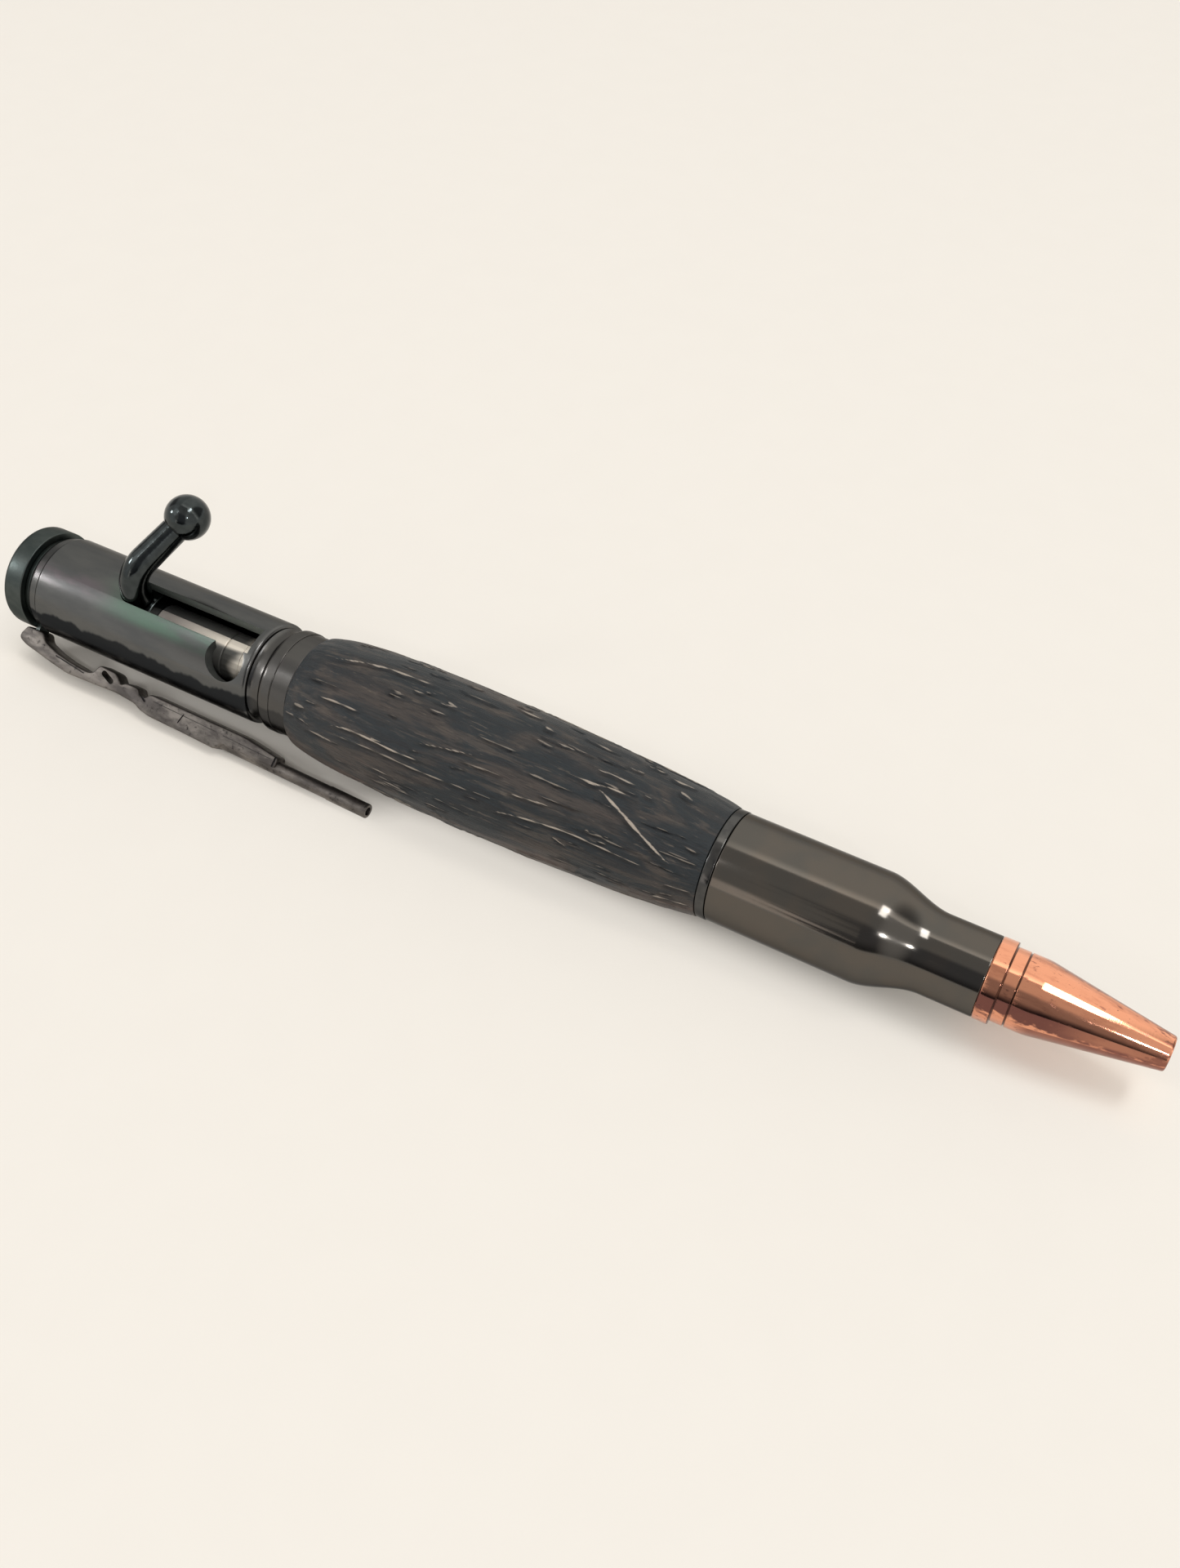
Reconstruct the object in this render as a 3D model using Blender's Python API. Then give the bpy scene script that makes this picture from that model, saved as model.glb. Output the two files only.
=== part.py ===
"""A bolt-action ballpoint pen with a turned wooden barrel and a nose shaped as a bottle-necked cartridge.

Metres, +Z up. The pen lies along X, point towards +X, and rests on the belly of its barrel and on its clip.
Stations run along the pen's axis from the point, so they grow more negative towards the cap.
Rolls turn about that axis: 0 is straight up and 90 degrees faces -Y.
"""

import math

import bmesh
import bpy
from mathutils import Vector

mm = 0.001
degree = math.radians(1)

# Fits shared by all pieces
seam = 0.06 * mm  # between faces that meet end to end
fit = 0.08 * mm  # between a spigot or tube and the bore that holds it
slide_fit = 0.09 * mm  # between the bolt and its chamber
overrun = 1.0 * mm  # how far a cutter stands past what it cuts
outer_sides = 40
inner_sides = 28
small_sides = 16
arc_steps = 2
merge_distance = 0.001 * mm
sharp_angle = 35 * degree

# Copper nose
nose_length = 18.05 * mm
point_radius = 1.80 * mm
point_rounding = 0.25 * mm
taper_length = 13.1 * mm
jacket_radius = 3.93 * mm
jacket_length = 1.85 * mm
groove_width = 0.16 * mm
groove_depth = 0.12 * mm
waist_length = 1.32 * mm
band_radius = 4.36 * mm
band_rounding = 0.12 * mm
nose_spigot_length = 5.9 * mm
point_bore_radius = 1.30 * mm
point_bore_length = 4.3 * mm
spring_chamber_radius = 2.15 * mm
spring_chamber_length = 9.3 * mm
nose_wall_in_case = 0.50 * mm

# Cartridge case
case_length = 28.22 * mm
case_radius = 6.04 * mm
neck_radius = 4.32 * mm
neck_length = 5.5 * mm
shoulder_length = 7.0 * mm
shoulder_steps = 8
neck_wall = 0.62 * mm
case_wall = 0.99 * mm
mouth_rounding = 0.10 * mm

# Threaded bush and front coupler
bush_length = 7.8 * mm
bush_wall = 0.62 * mm
coupler_ring_length = 1.06 * mm
coupler_ring_radius = 6.10 * mm
coupler_rounding = 0.15 * mm
coupler_thread_length = 7.2 * mm
coupler_spigot_length = 8.5 * mm
refill_passage_radius = 3.20 * mm

# Lining tube and wooden barrel
tube_radius = 4.76 * mm
tube_wall = 0.36 * mm
wood_length = 51.7 * mm
wood_front_radius = 6.12 * mm
wood_rear_radius = 6.30 * mm
belly_radius = 7.92 * mm
belly_from_rear = 20.6 * mm
front_fullness = 1.6
rear_fullness = 2.5
rear_swell = 2.0
front_barrel_steps = 14
rear_barrel_steps = 10

# Rear coupler, the collar between the wood and the housing
collar_length = 5.54 * mm
collar_radius = 6.22 * mm
collar_step_radius = 6.10 * mm
collar_step_length = 2.25 * mm
collar_band_length = 1.55 * mm
collar_neck_radius = 5.60 * mm
collar_rounding = 0.35 * mm
collar_spigot_length = 8.3 * mm
collar_socket_depth = 4.5 * mm

# Bolt housing
housing_length = 33.03 * mm
housing_radius = 6.19 * mm
housing_rounding = 0.30 * mm
housing_nose_length = 4.3 * mm
chamber_radius = 4.75 * mm
chamber_front_wall = 0.98 * mm
rear_taper_length = 1.40 * mm
rear_taper_radius = 5.60 * mm
rear_edge_radius = 6.04 * mm
rear_edge_length = 0.20 * mm

# Bolt slot and locking notch
slot_roll = 11.8 * degree
slot_width = 3.60 * mm
slot_front_from_housing_front = 1.03 * mm
notch_roll = 44.0 * degree
notch_radius = 2.55 * mm
notch_to_slot_front = 2.50 * mm
slot_end_clearance = 0.10 * mm
slot_corner_steps = 8

# Bolt: carrier, push rod, handle and knob
carrier_to_cap_spigot = 1.55 * mm
carrier_ahead_of_handle = 2.25 * mm
carrier_rounding = 0.25 * mm
push_rod_radius = 2.95 * mm
push_rod_length = 10.2 * mm
push_rod_rounding = 0.20 * mm
push_rod_tail_radius = 1.5 * mm
push_rod_tail_length = 0.85 * mm
stud_radius = 1.2 * mm
stud_floor = 1.9 * mm
bolt_travel = 15.1 * mm
stem_radius = 1.70 * mm
stem_end_radius = 1.62 * mm
stem_straight = 1.05 * mm
stem_bend_radius = 3.97 * mm
stem_bend = 72 * degree
stem_sweep = 23.8 * degree
stem_reach = 6.93 * mm
stem_bend_steps = 9
knob_radius = 2.67 * mm
knob_pin_radius = 0.9 * mm
knob_pin_length = 1.7 * mm
knob_steps = 12

# End cap, primer disc and clip ring
cap_length = 2.82 * mm
cap_radius = 6.30 * mm
cap_rear_rounding = 0.65 * mm
cap_front_rounding = 0.15 * mm
cap_spigot_length = 4.0 * mm
primer_radius = 2.66 * mm
primer_depth = 0.90 * mm
primer_rounding = 0.30 * mm
clip_ring_thickness = 0.56 * mm
clip_ring_radius = 5.50 * mm
clip_lug_width = 1.8 * mm
clip_lug_top = 6.95 * mm
clip_lug_depth = 0.30 * mm

# Clip: its shares are of clip_length from its rear end and of clip_height from its foot
clip_roll = 131.1 * degree
clip_length = 52.8 * mm
clip_height = 4.56 * mm
clip_rear_to_cap_rear = 1.0 * mm
clip_foot_clearance = 0.12 * mm
clip_width = 2.10 * mm
clip_edge = 0.30 * mm
clip_corner = 0.45 * mm
clip_under_shares = [
    (0.013, 0.00), (0.0625, 0.00), (0.072, 0.20), (0.112, 0.35), (0.146, 0.425), (0.210, 0.50),
    (0.229, 0.45), (0.240, 0.19), (0.290, 0.22), (0.311, 0.46), (0.322, 0.345), (0.358, 0.345),
    (0.366, 0.51), (0.384, 0.51), (0.394, 0.357), (0.665, 0.386), (0.746, 0.51), (0.759, 0.533),
]
clip_over_shares = [
    (0.759, 0.945), (0.686, 0.908), (0.608, 0.925), (0.598, 0.99), (0.500, 0.943), (0.409, 0.921),
    (0.380, 0.857), (0.362, 0.760), (0.303, 0.700), (0.256, 0.724), (0.159, 0.763), (0.105, 0.667),
    (0.023, 0.491), (0.002, 0.39), (0.000, 0.259), (0.008, 0.105),
]
guard_hole_rear_share = (0.259, 0.35)
guard_hole_front_share = (0.283, 0.47)
guard_hole_radius = 0.36 * mm
guard_hole_steps = 4
clip_barrel_radius = 0.80 * mm
clip_barrel_root_share = (0.735, 0.790)
clip_barrel_tip_share = (1.0, 0.856)
clip_muzzle_radius = 0.86 * mm
clip_muzzle_length = 5.4 * mm
clip_muzzle_bore_radius = 0.50 * mm
clip_muzzle_depth = 1.5 * mm

# Refill
point_behind_nose = 12.6 * mm
refill_radius = 2.95 * mm
refill_wall = 0.28 * mm
crown_length = 2.5 * mm
crown_skirt_length = 3.0 * mm
tip_length = 11.5 * mm
tip_radius = 1.17 * mm
tip_cone_length = 2.6 * mm
tip_face_radius = 0.56 * mm
tip_tail_radius = 0.90 * mm
tip_tail_length = 3.6 * mm
refill_nose_length = 5.0 * mm
refill_nose_radius = 2.0 * mm
refill_nose_rounding = 0.20 * mm
refill_nose_skirt_length = 3.6 * mm
ink_channel_radius = 0.5 * mm
ink_length = 58.0 * mm
ball_radius = 0.40 * mm
ball_gap = 0.02 * mm
ball_stands_out = 0.22 * mm
ball_steps = 8

# Return spring
wire_radius = 0.175 * mm
spring_radius = 1.78 * mm
spring_curls = 11
points_per_curl = 10
spring_end_clearance = 0.06 * mm
least_wire_gap = 0.4 * mm

# Stations that follow from the sizes above
x_case_mouth = -nose_length - seam
x_case_rear = x_case_mouth - case_length
x_coupler_front = x_case_rear - seam
x_coupler_rear = x_coupler_front - coupler_ring_length
x_wood_front = x_coupler_rear - seam
x_wood_rear = x_wood_front - wood_length
x_collar_front = x_wood_rear - seam
x_collar_rear = x_collar_front - collar_length
x_housing_front = x_collar_rear - seam
x_housing_rear = x_housing_front - housing_length
x_clip_ring_front = x_housing_rear - seam
x_clip_ring_rear = x_clip_ring_front - clip_ring_thickness
x_cap_front = x_clip_ring_rear - seam
x_cap_rear = x_cap_front - cap_length
x_chamber_front = x_housing_front - chamber_front_wall
x_slot_front = x_housing_front - slot_front_from_housing_front
x_notch = x_slot_front - notch_to_slot_front
x_handle = x_notch - bolt_travel
x_carrier_front = x_handle + carrier_ahead_of_handle
x_carrier_rear = x_cap_front + cap_spigot_length + carrier_to_cap_spigot
x_push_rod_front = x_carrier_front + push_rod_length
x_refill_rear = x_push_rod_front + seam
x_refill_point = -point_behind_nose
x_refill_shoulder = x_refill_point - tip_length
x_refill_tube_front = x_refill_shoulder - refill_nose_length
x_spring_seat = -point_bore_length
x_clip_rear = x_cap_rear + clip_rear_to_cap_rear
case_bore_radius = case_radius - case_wall
neck_bore_radius = neck_radius - neck_wall
nose_spigot_radius = neck_bore_radius - fit
bush_radius = case_bore_radius - fit
bush_bore_radius = bush_radius - bush_wall
tube_bore_radius = tube_radius - tube_wall
lining_spigot_radius = tube_bore_radius - fit
socket_radius = collar_neck_radius - 0.9 * mm
carrier_radius = chamber_radius - slide_fit
refill_bore_radius = refill_radius - refill_wall
skirt_radius = refill_bore_radius - fit
clip_foot_radius = cap_radius + clip_foot_clearance


def look(name, colour, roughness, metallic):
    """A plain material of one colour."""
    material = bpy.data.materials.new(name)
    material.use_nodes = True
    shader = material.node_tree.nodes["Principled BSDF"]
    shader.inputs["Base Color"].default_value = (*colour, 1.0)
    shader.inputs["Roughness"].default_value = roughness
    shader.inputs["Metallic"].default_value = metallic
    material.diffuse_color = (*colour, 1.0)
    return material


def frame(name, parent=None, station=0.0, roll=0.0, height=0.0):
    """An empty on the pen's axis, or at a height above it along its own roll, that pieces hang from."""
    empty = bpy.data.objects.new(name, None)
    bpy.context.scene.collection.objects.link(empty)
    empty.parent = parent
    empty.location = (station, -math.sin(roll) * height, math.cos(roll) * height)
    empty.rotation_euler = (roll, 0.0, 0.0)
    return empty


def placed(name, shape, material, parent, location=(0.0, 0.0, 0.0)):
    """Turns a finished bmesh into a smooth-shaded object under its parent."""
    bmesh.ops.recalc_face_normals(shape, faces=shape.faces)
    mesh = bpy.data.meshes.new(name)
    shape.to_mesh(mesh)
    shape.free()
    mesh.shade_smooth()
    mesh.set_sharp_from_angle(angle=sharp_angle)
    if material:
        mesh.materials.append(material)
    thing = bpy.data.objects.new(name, mesh)
    bpy.context.scene.collection.objects.link(thing)
    thing.parent = parent
    thing.location = location
    return thing


def rounded(corners):
    """Outline through corners of (x, r, rounding): each rounding starts and ends that far from its corner."""
    points = []
    for i, (x, r, size) in enumerate(corners):
        here = Vector((x, r))
        if size == 0:
            points.append((x, r))
            continue
        back = Vector(corners[i - 1][:2]) - here
        ahead = Vector(corners[(i + 1) % len(corners)][:2]) - here
        start = here + back.normalized() * min(size, back.length / 2)
        end = here + ahead.normalized() * min(size, ahead.length / 2)
        for k in range(arc_steps + 1):
            t = k / arc_steps
            p = start * (1 - t) ** 2 + here * 2 * t * (1 - t) + end * t**2
            points.append((p.x, p.y))
    return points


def turned(name, outline, material, parent, sides=outer_sides, station=0.0):
    """Spins an outline of (x, r) about the X axis. It is closed, or it starts and ends on the axis."""
    shape = bmesh.new()
    ring = [shape.verts.new((x - station, 0.0, r)) for x, r in outline]
    edges = [shape.edges.new(pair) for pair in zip(ring, ring[1:])]
    if outline[0][1] > 0:
        edges.append(shape.edges.new((ring[-1], ring[0])))
    axis = Vector((1, 0, 0))
    bmesh.ops.spin(shape, geom=ring + edges, cent=Vector(), axis=axis, angle=2 * math.pi, steps=sides)
    bmesh.ops.remove_doubles(shape, verts=shape.verts, dist=merge_distance)
    return placed(name, shape, material, parent, (station, 0.0, 0.0))


def extruded(name, outline, depth, material, parent, upwards=False):
    """Extrudes an outline between two depths: one of (x, z) along Y, or one of (x, y) upwards."""
    shape = bmesh.new()
    low, high = depth
    if upwards:
        corners = [shape.verts.new((x, y, low)) for x, y in outline]
        step = Vector((0, 0, high - low))
    else:
        corners = [shape.verts.new((x, low, z)) for x, z in outline]
        step = Vector((0, high - low, 0))
    face = shape.faces.new(corners)
    grown = bmesh.ops.extrude_face_region(shape, geom=[face])["geom"]
    bmesh.ops.translate(shape, vec=step, verts=[v for v in grown if isinstance(v, bmesh.types.BMVert)])
    return placed(name, shape, material, parent)


def swept(name, stations, normal, material, parent, sides=small_sides):
    """A round bar through stations of (centre, radius, direction), all in one plane with the given normal."""
    shape = bmesh.new()
    rings = []
    for centre, radius, direction in stations:
        across = direction.cross(normal)
        ring = []
        for k in range(sides):
            turn = 2 * math.pi * k / sides
            outwards = math.cos(turn) * normal + math.sin(turn) * across
            ring.append(shape.verts.new(centre + radius * outwards))
        rings.append(ring)
    for first, second in zip(rings, rings[1:]):
        for k in range(sides):
            after = (k + 1) % sides
            shape.faces.new((first[k], first[after], second[after], second[k]))
    shape.faces.new(rings[0])
    shape.faces.new(rings[-1])
    return placed(name, shape, material, parent)


def combine(thing, tool, operation):
    """Cuts a tool out of a piece, or joins it on, and hides the tool."""
    boolean = thing.modifiers.new(tool.name, "BOOLEAN")
    boolean.operation = operation
    boolean.object = tool
    tool.hide_render = True
    tool.display_type = "WIRE"


def half_disc(centre_x, radius, steps, start):
    """Points of a half circle in the plane of a cutter's outline, from start turning through 180 degrees."""
    turns = [start + math.pi * k / steps for k in range(steps + 1)]
    return [(centre_x + radius * math.cos(a), radius * math.sin(a)) for a in turns]


def bullet_nose(parent):
    """Copper cone with a fine groove, two bands, a spigot for the case neck and a chamber for the spring."""
    x_taper = -taper_length
    x_groove = x_taper - jacket_length
    x_waist = x_groove - groove_width
    x_band = x_waist - waist_length
    x_spigot = -nose_length
    x_rear = x_spigot - nose_spigot_length
    x_chamber_rear = x_spring_seat - spring_chamber_length
    rear_bore_radius = nose_spigot_radius - nose_wall_in_case
    corners = [
        (0.0, point_bore_radius, 0.0),
        (0.0, point_radius, point_rounding),
        (x_taper, jacket_radius, band_rounding),
        (x_groove, jacket_radius, 0.0),
        (x_groove, jacket_radius - groove_depth, 0.0),
        (x_waist, jacket_radius - groove_depth, 0.0),
        (x_waist, jacket_radius, 0.0),
        (x_band, jacket_radius, 0.0),
        (x_band, band_radius, band_rounding),
        (x_spigot, band_radius, 0.0),
        (x_spigot, nose_spigot_radius, 0.0),
        (x_rear, nose_spigot_radius, band_rounding),
        (x_rear, rear_bore_radius, 0.0),
        (x_chamber_rear, rear_bore_radius, 0.0),
        (x_chamber_rear, spring_chamber_radius, 0.0),
        (x_spring_seat, spring_chamber_radius, 0.0),
        (x_spring_seat, point_bore_radius, 0.0),
    ]
    turned("bullet_nose", rounded(corners), copper, parent)


def cartridge_case(parent):
    """Straight-walled case with a smooth shoulder down to its neck, hollow right through."""
    x_neck = x_case_mouth - neck_length
    x_body = x_neck - shoulder_length
    outer = [(x_case_mouth, neck_radius, mouth_rounding)]
    for k in range(shoulder_steps + 1):
        share = k / shoulder_steps
        rise = share * share * (3 - 2 * share)
        radius = neck_radius + rise * (case_radius - neck_radius)
        outer.append((x_neck - share * shoulder_length, radius, 0.0))
    x_neck_bore = -nose_length - nose_spigot_length - fit
    inner = [
        (x_case_rear, case_radius, mouth_rounding),
        (x_case_rear, case_bore_radius, 0.0),
        (x_body, case_bore_radius, 0.0),
        (x_neck_bore, neck_bore_radius, 0.0),
        (x_case_mouth, neck_bore_radius, 0.0),
    ]
    turned("cartridge_case", rounded(outer + inner), gunmetal, parent)


def thread_bush(parent):
    """Threaded bush pressed into the case's rear end."""
    corners = [
        (x_case_rear + bush_length, bush_radius, mouth_rounding),
        (x_case_rear, bush_radius, 0.0),
        (x_case_rear, bush_bore_radius, mouth_rounding),
        (x_case_rear + bush_length, bush_bore_radius, 0.0),
    ]
    turned("thread_bush", rounded(corners), brass, parent, inner_sides)


def front_coupler(parent):
    """Ring between case and wood, with a threaded spigot ahead of it and a plain one in the lining tube."""
    thread_radius = bush_bore_radius - fit
    corners = [
        (x_coupler_front + coupler_thread_length, refill_passage_radius, 0.0),
        (x_coupler_front + coupler_thread_length, thread_radius, coupler_rounding),
        (x_coupler_front, thread_radius, 0.0),
        (x_coupler_front, coupler_ring_radius, coupler_rounding),
        (x_coupler_rear, coupler_ring_radius, coupler_rounding),
        (x_coupler_rear, lining_spigot_radius, 0.0),
        (x_coupler_rear - coupler_spigot_length, lining_spigot_radius, coupler_rounding),
        (x_coupler_rear - coupler_spigot_length, refill_passage_radius, 0.0),
    ]
    turned("front_coupler", rounded(corners), gunmetal, parent)


def brass_tube(parent):
    """Lining tube as long as the wood."""
    corners = [
        (x_wood_front, tube_bore_radius),
        (x_wood_front, tube_radius),
        (x_wood_rear, tube_radius),
        (x_wood_rear, tube_bore_radius),
    ]
    turned("brass_tube", corners, brass, parent, inner_sides)


def wood_barrel(parent):
    """Turned barrel: a long curve from the front ring up to its belly, a fuller one down to the collar."""
    outer = []
    x_belly = x_wood_rear + belly_from_rear
    for k in range(front_barrel_steps + 1):
        share = (k / front_barrel_steps) ** 2
        swell = (1 - (1 - share) ** front_fullness) ** (1 / front_fullness)
        radius = wood_front_radius + swell * (belly_radius - wood_front_radius)
        outer.append((x_wood_front + share * (x_belly - x_wood_front), radius))
    for k in reversed(range(rear_barrel_steps)):
        share = (k / rear_barrel_steps) ** 2
        swell = (1 - (1 - share) ** rear_fullness) ** (1 / rear_swell)
        radius = wood_rear_radius + swell * (belly_radius - wood_rear_radius)
        outer.append((x_wood_rear + share * belly_from_rear, radius))
    bore = tube_radius + fit
    turned("wood_barrel", outer + [(x_wood_rear, bore), (x_wood_front, bore)], wood, parent)


def rear_coupler(parent):
    """Collar: a spigot in the lining tube, two stepped bands, a narrow neck and a socket for the housing."""
    x_step = x_collar_front - collar_step_length
    x_neck = x_step - collar_band_length
    x_socket = x_collar_rear + collar_socket_depth
    corners = [
        (x_collar_front + collar_spigot_length, refill_passage_radius, 0.0),
        (x_collar_front + collar_spigot_length, lining_spigot_radius, coupler_rounding),
        (x_collar_front, lining_spigot_radius, 0.0),
        (x_collar_front, collar_step_radius, coupler_rounding),
        (x_step, collar_step_radius, 0.0),
        (x_step, collar_radius, coupler_rounding),
        (x_neck, collar_radius, collar_rounding),
        (x_neck, collar_neck_radius, 0.0),
        (x_collar_rear, collar_neck_radius, 0.0),
        (x_collar_rear, socket_radius, 0.0),
        (x_socket, socket_radius, 0.0),
        (x_socket, refill_passage_radius, 0.0),
    ]
    turned("rear_coupler", rounded(corners), gunmetal, parent)


def bolt_housing(parent):
    """Housing with a bored chamber, a nose for the collar's socket, the bolt slot and the locking notch."""
    x_nose_end = x_housing_front + housing_nose_length
    x_taper = x_housing_rear + rear_taper_length
    corners = [
        (x_nose_end, refill_passage_radius, 0.0),
        (x_nose_end, socket_radius - fit, coupler_rounding),
        (x_housing_front, socket_radius - fit, 0.0),
        (x_housing_front, housing_radius, housing_rounding),
        (x_taper + rear_edge_length, housing_radius, 0.0),
        (x_taper, rear_edge_radius, 0.0),
        (x_housing_rear, rear_taper_radius, 0.0),
        (x_housing_rear, chamber_radius, 0.0),
        (x_chamber_front, chamber_radius, 0.0),
        (x_chamber_front, refill_passage_radius, 0.0),
    ]
    housing = turned("bolt_housing", rounded(corners), gunmetal, parent)
    below = refill_passage_radius
    above = housing_radius + overrun
    x_slot_rear = x_handle - stem_radius - slot_end_clearance
    round_end = half_disc(x_slot_rear + slot_width / 2, slot_width / 2, slot_corner_steps, math.pi / 2)
    outline = round_end + [(x_slot_front, -slot_width / 2), (x_slot_front, slot_width / 2)]
    slot = extruded("slot_cutter", outline, (below, above), None, parent, upwards=True)
    slot.rotation_euler.x = slot_roll
    combine(housing, slot, "DIFFERENCE")
    turns = [2 * math.pi * k / inner_sides for k in range(inner_sides)]
    outline = [(x_notch + notch_radius * math.cos(a), notch_radius * math.sin(a)) for a in turns]
    notch = extruded("notch_cutter", outline, (below, above), None, parent, upwards=True)
    notch.rotation_euler.x = notch_roll
    combine(housing, notch, "DIFFERENCE")


def end_cap(parent):
    """Rim disc with a primer pocket in its face and a spigot through the clip ring into the chamber."""
    spigot_radius = chamber_radius - fit
    x_spigot_end = x_cap_front + cap_spigot_length
    x_pocket = x_cap_rear + primer_depth
    corners = [
        (x_spigot_end, 0.0, 0.0),
        (x_spigot_end, spigot_radius, cap_front_rounding),
        (x_cap_front, spigot_radius, 0.0),
        (x_cap_front, cap_radius, cap_front_rounding),
        (x_cap_rear, cap_radius, cap_rear_rounding),
        (x_cap_rear, primer_radius + fit, 0.0),
        (x_pocket, primer_radius + fit, 0.0),
        (x_pocket, 0.0, 0.0),
    ]
    turned("end_cap", rounded(corners), gunmetal, parent)


def primer_disc(parent):
    """Disc set in the end cap's face."""
    x_front = x_cap_rear + primer_depth - seam
    corners = [
        (x_front, 0.0, 0.0),
        (x_front, primer_radius, 0.0),
        (x_cap_rear, primer_radius, primer_rounding),
        (x_cap_rear, 0.0, 0.0),
    ]
    turned("primer_disc", rounded(corners), brass, parent, inner_sides)


def clip_ring(parent):
    """Thin ring clamped between end cap and housing, with the lug that carries the clip."""
    corners = [
        (x_clip_ring_front, chamber_radius),
        (x_clip_ring_front, clip_ring_radius),
        (x_clip_ring_rear, clip_ring_radius),
        (x_clip_ring_rear, chamber_radius),
    ]
    ring = turned("clip_ring", corners, gunmetal, parent)
    sides = [(x_clip_ring_rear, clip_lug_width), (x_clip_ring_front, clip_lug_width)]
    outline = [(x, -w / 2) for x, w in sides] + [(x, w / 2) for x, w in reversed(sides)]
    depth = (clip_ring_radius - clip_lug_depth, clip_lug_top)
    lug = extruded("clip_lug", outline, depth, None, parent, upwards=True)
    lug.rotation_euler.x = clip_roll
    combine(ring, lug, "UNION")


def on_clip(share):
    """Turns a point of the clip's shares into its frame, which hangs on the lug's foot."""
    along, up = share
    height = clip_foot_radius + up * clip_height - clip_ring_radius
    return x_clip_rear + along * clip_length - x_clip_pivot, height


def pocket_clip(parent):
    """Rifle-shaped clip: a bevelled slab with a trigger guard, joined to a round, hollow-ended barrel."""
    corners = [(*on_clip(share), clip_corner) for share in clip_under_shares + clip_over_shares]
    half = clip_width / 2
    clip = extruded("pocket_clip", rounded(corners), (-half, half), pewter, parent)
    bevel = clip.modifiers.new("edges", "BEVEL")
    bevel.width = clip_edge
    bevel.segments = 2
    bevel.limit_method = "ANGLE"
    bevel.angle_limit = 60 * degree

    rear, front = Vector(on_clip(guard_hole_rear_share)), Vector(on_clip(guard_hole_front_share))
    lean = math.atan2(front.y - rear.y, front.x - rear.x)
    outline = []
    for centre, start in ((front, lean - math.pi / 2), (rear, lean + math.pi / 2)):
        turns = [start + math.pi * k / guard_hole_steps for k in range(guard_hole_steps + 1)]
        outline += [centre + guard_hole_radius * Vector((math.cos(a), math.sin(a))) for a in turns]
    hole = extruded("guard_hole", outline, (-half - overrun, half + overrun), None, parent)
    combine(clip, hole, "DIFFERENCE")

    root = Vector((on_clip(clip_barrel_root_share)[0], 0.0, on_clip(clip_barrel_root_share)[1]))
    tip = Vector((on_clip(clip_barrel_tip_share)[0], 0.0, on_clip(clip_barrel_tip_share)[1]))
    length = (tip - root).length
    x_muzzle = length - clip_muzzle_length
    corners = [
        (0.0, 0.0, 0.0),
        (0.0, clip_barrel_radius, 0.0),
        (x_muzzle, clip_barrel_radius, 0.0),
        (x_muzzle, clip_muzzle_radius, 0.0),
        (length, clip_muzzle_radius, mouth_rounding),
        (length, clip_muzzle_bore_radius, 0.0),
        (length - clip_muzzle_depth, clip_muzzle_bore_radius, 0.0),
        (length - clip_muzzle_depth, 0.0, 0.0),
    ]
    barrel = turned("clip_barrel", rounded(corners), None, parent, small_sides)
    barrel.location = root
    barrel.rotation_euler.y = -math.atan2(tip.z - root.z, tip.x - root.x)
    combine(clip, barrel, "UNION")

    half_pocket = clip_ring_thickness / 2 + fit
    side = clip_lug_width / 2 + fit
    outline = [(-half_pocket, -side), (half_pocket, -side), (half_pocket, side), (-half_pocket, side)]
    pocket_floor = clip_foot_radius - clip_ring_radius - overrun
    pocket_top = clip_lug_top - clip_ring_radius + fit
    pocket = extruded("lug_pocket", outline, (pocket_floor, pocket_top), None, parent, upwards=True)
    combine(clip, pocket, "DIFFERENCE")


def bolt_carrier(parent):
    """Slider that runs in the chamber, bored for the push rod's tail and for the handle's stud."""
    x_tail = x_carrier_front - push_rod_tail_length - fit
    corners = [
        (x_tail, 0.0, 0.0),
        (x_tail, push_rod_tail_radius + fit, 0.0),
        (x_carrier_front, push_rod_tail_radius + fit, 0.0),
        (x_carrier_front, carrier_radius, carrier_rounding),
        (x_carrier_rear, carrier_radius, carrier_rounding),
        (x_carrier_rear, 0.0, 0.0),
    ]
    carrier = turned("bolt_carrier", rounded(corners), black_metal, parent)
    hole_radius = stud_radius + fit
    turns = [2 * math.pi * k / small_sides for k in range(small_sides)]
    outline = [(x_handle + hole_radius * math.cos(a), hole_radius * math.sin(a)) for a in turns]
    depth = (stud_floor - fit, carrier_radius + overrun)
    hole = extruded("stud_hole", outline, depth, None, parent, upwards=True)
    hole.rotation_euler.x = slot_roll
    combine(carrier, hole, "DIFFERENCE")


def push_rod(parent):
    """Bright rod ahead of the carrier that bears on the refill."""
    x_tail = x_carrier_front - push_rod_tail_length
    x_shoulder = x_carrier_front + seam
    corners = [
        (x_push_rod_front, 0.0, 0.0),
        (x_push_rod_front, push_rod_radius, push_rod_rounding),
        (x_shoulder, push_rod_radius, 0.0),
        (x_shoulder, push_rod_tail_radius, 0.0),
        (x_tail, push_rod_tail_radius, 0.0),
        (x_tail, 0.0, 0.0),
    ]
    turned("push_rod", rounded(corners), bright_metal, parent, inner_sides)


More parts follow.
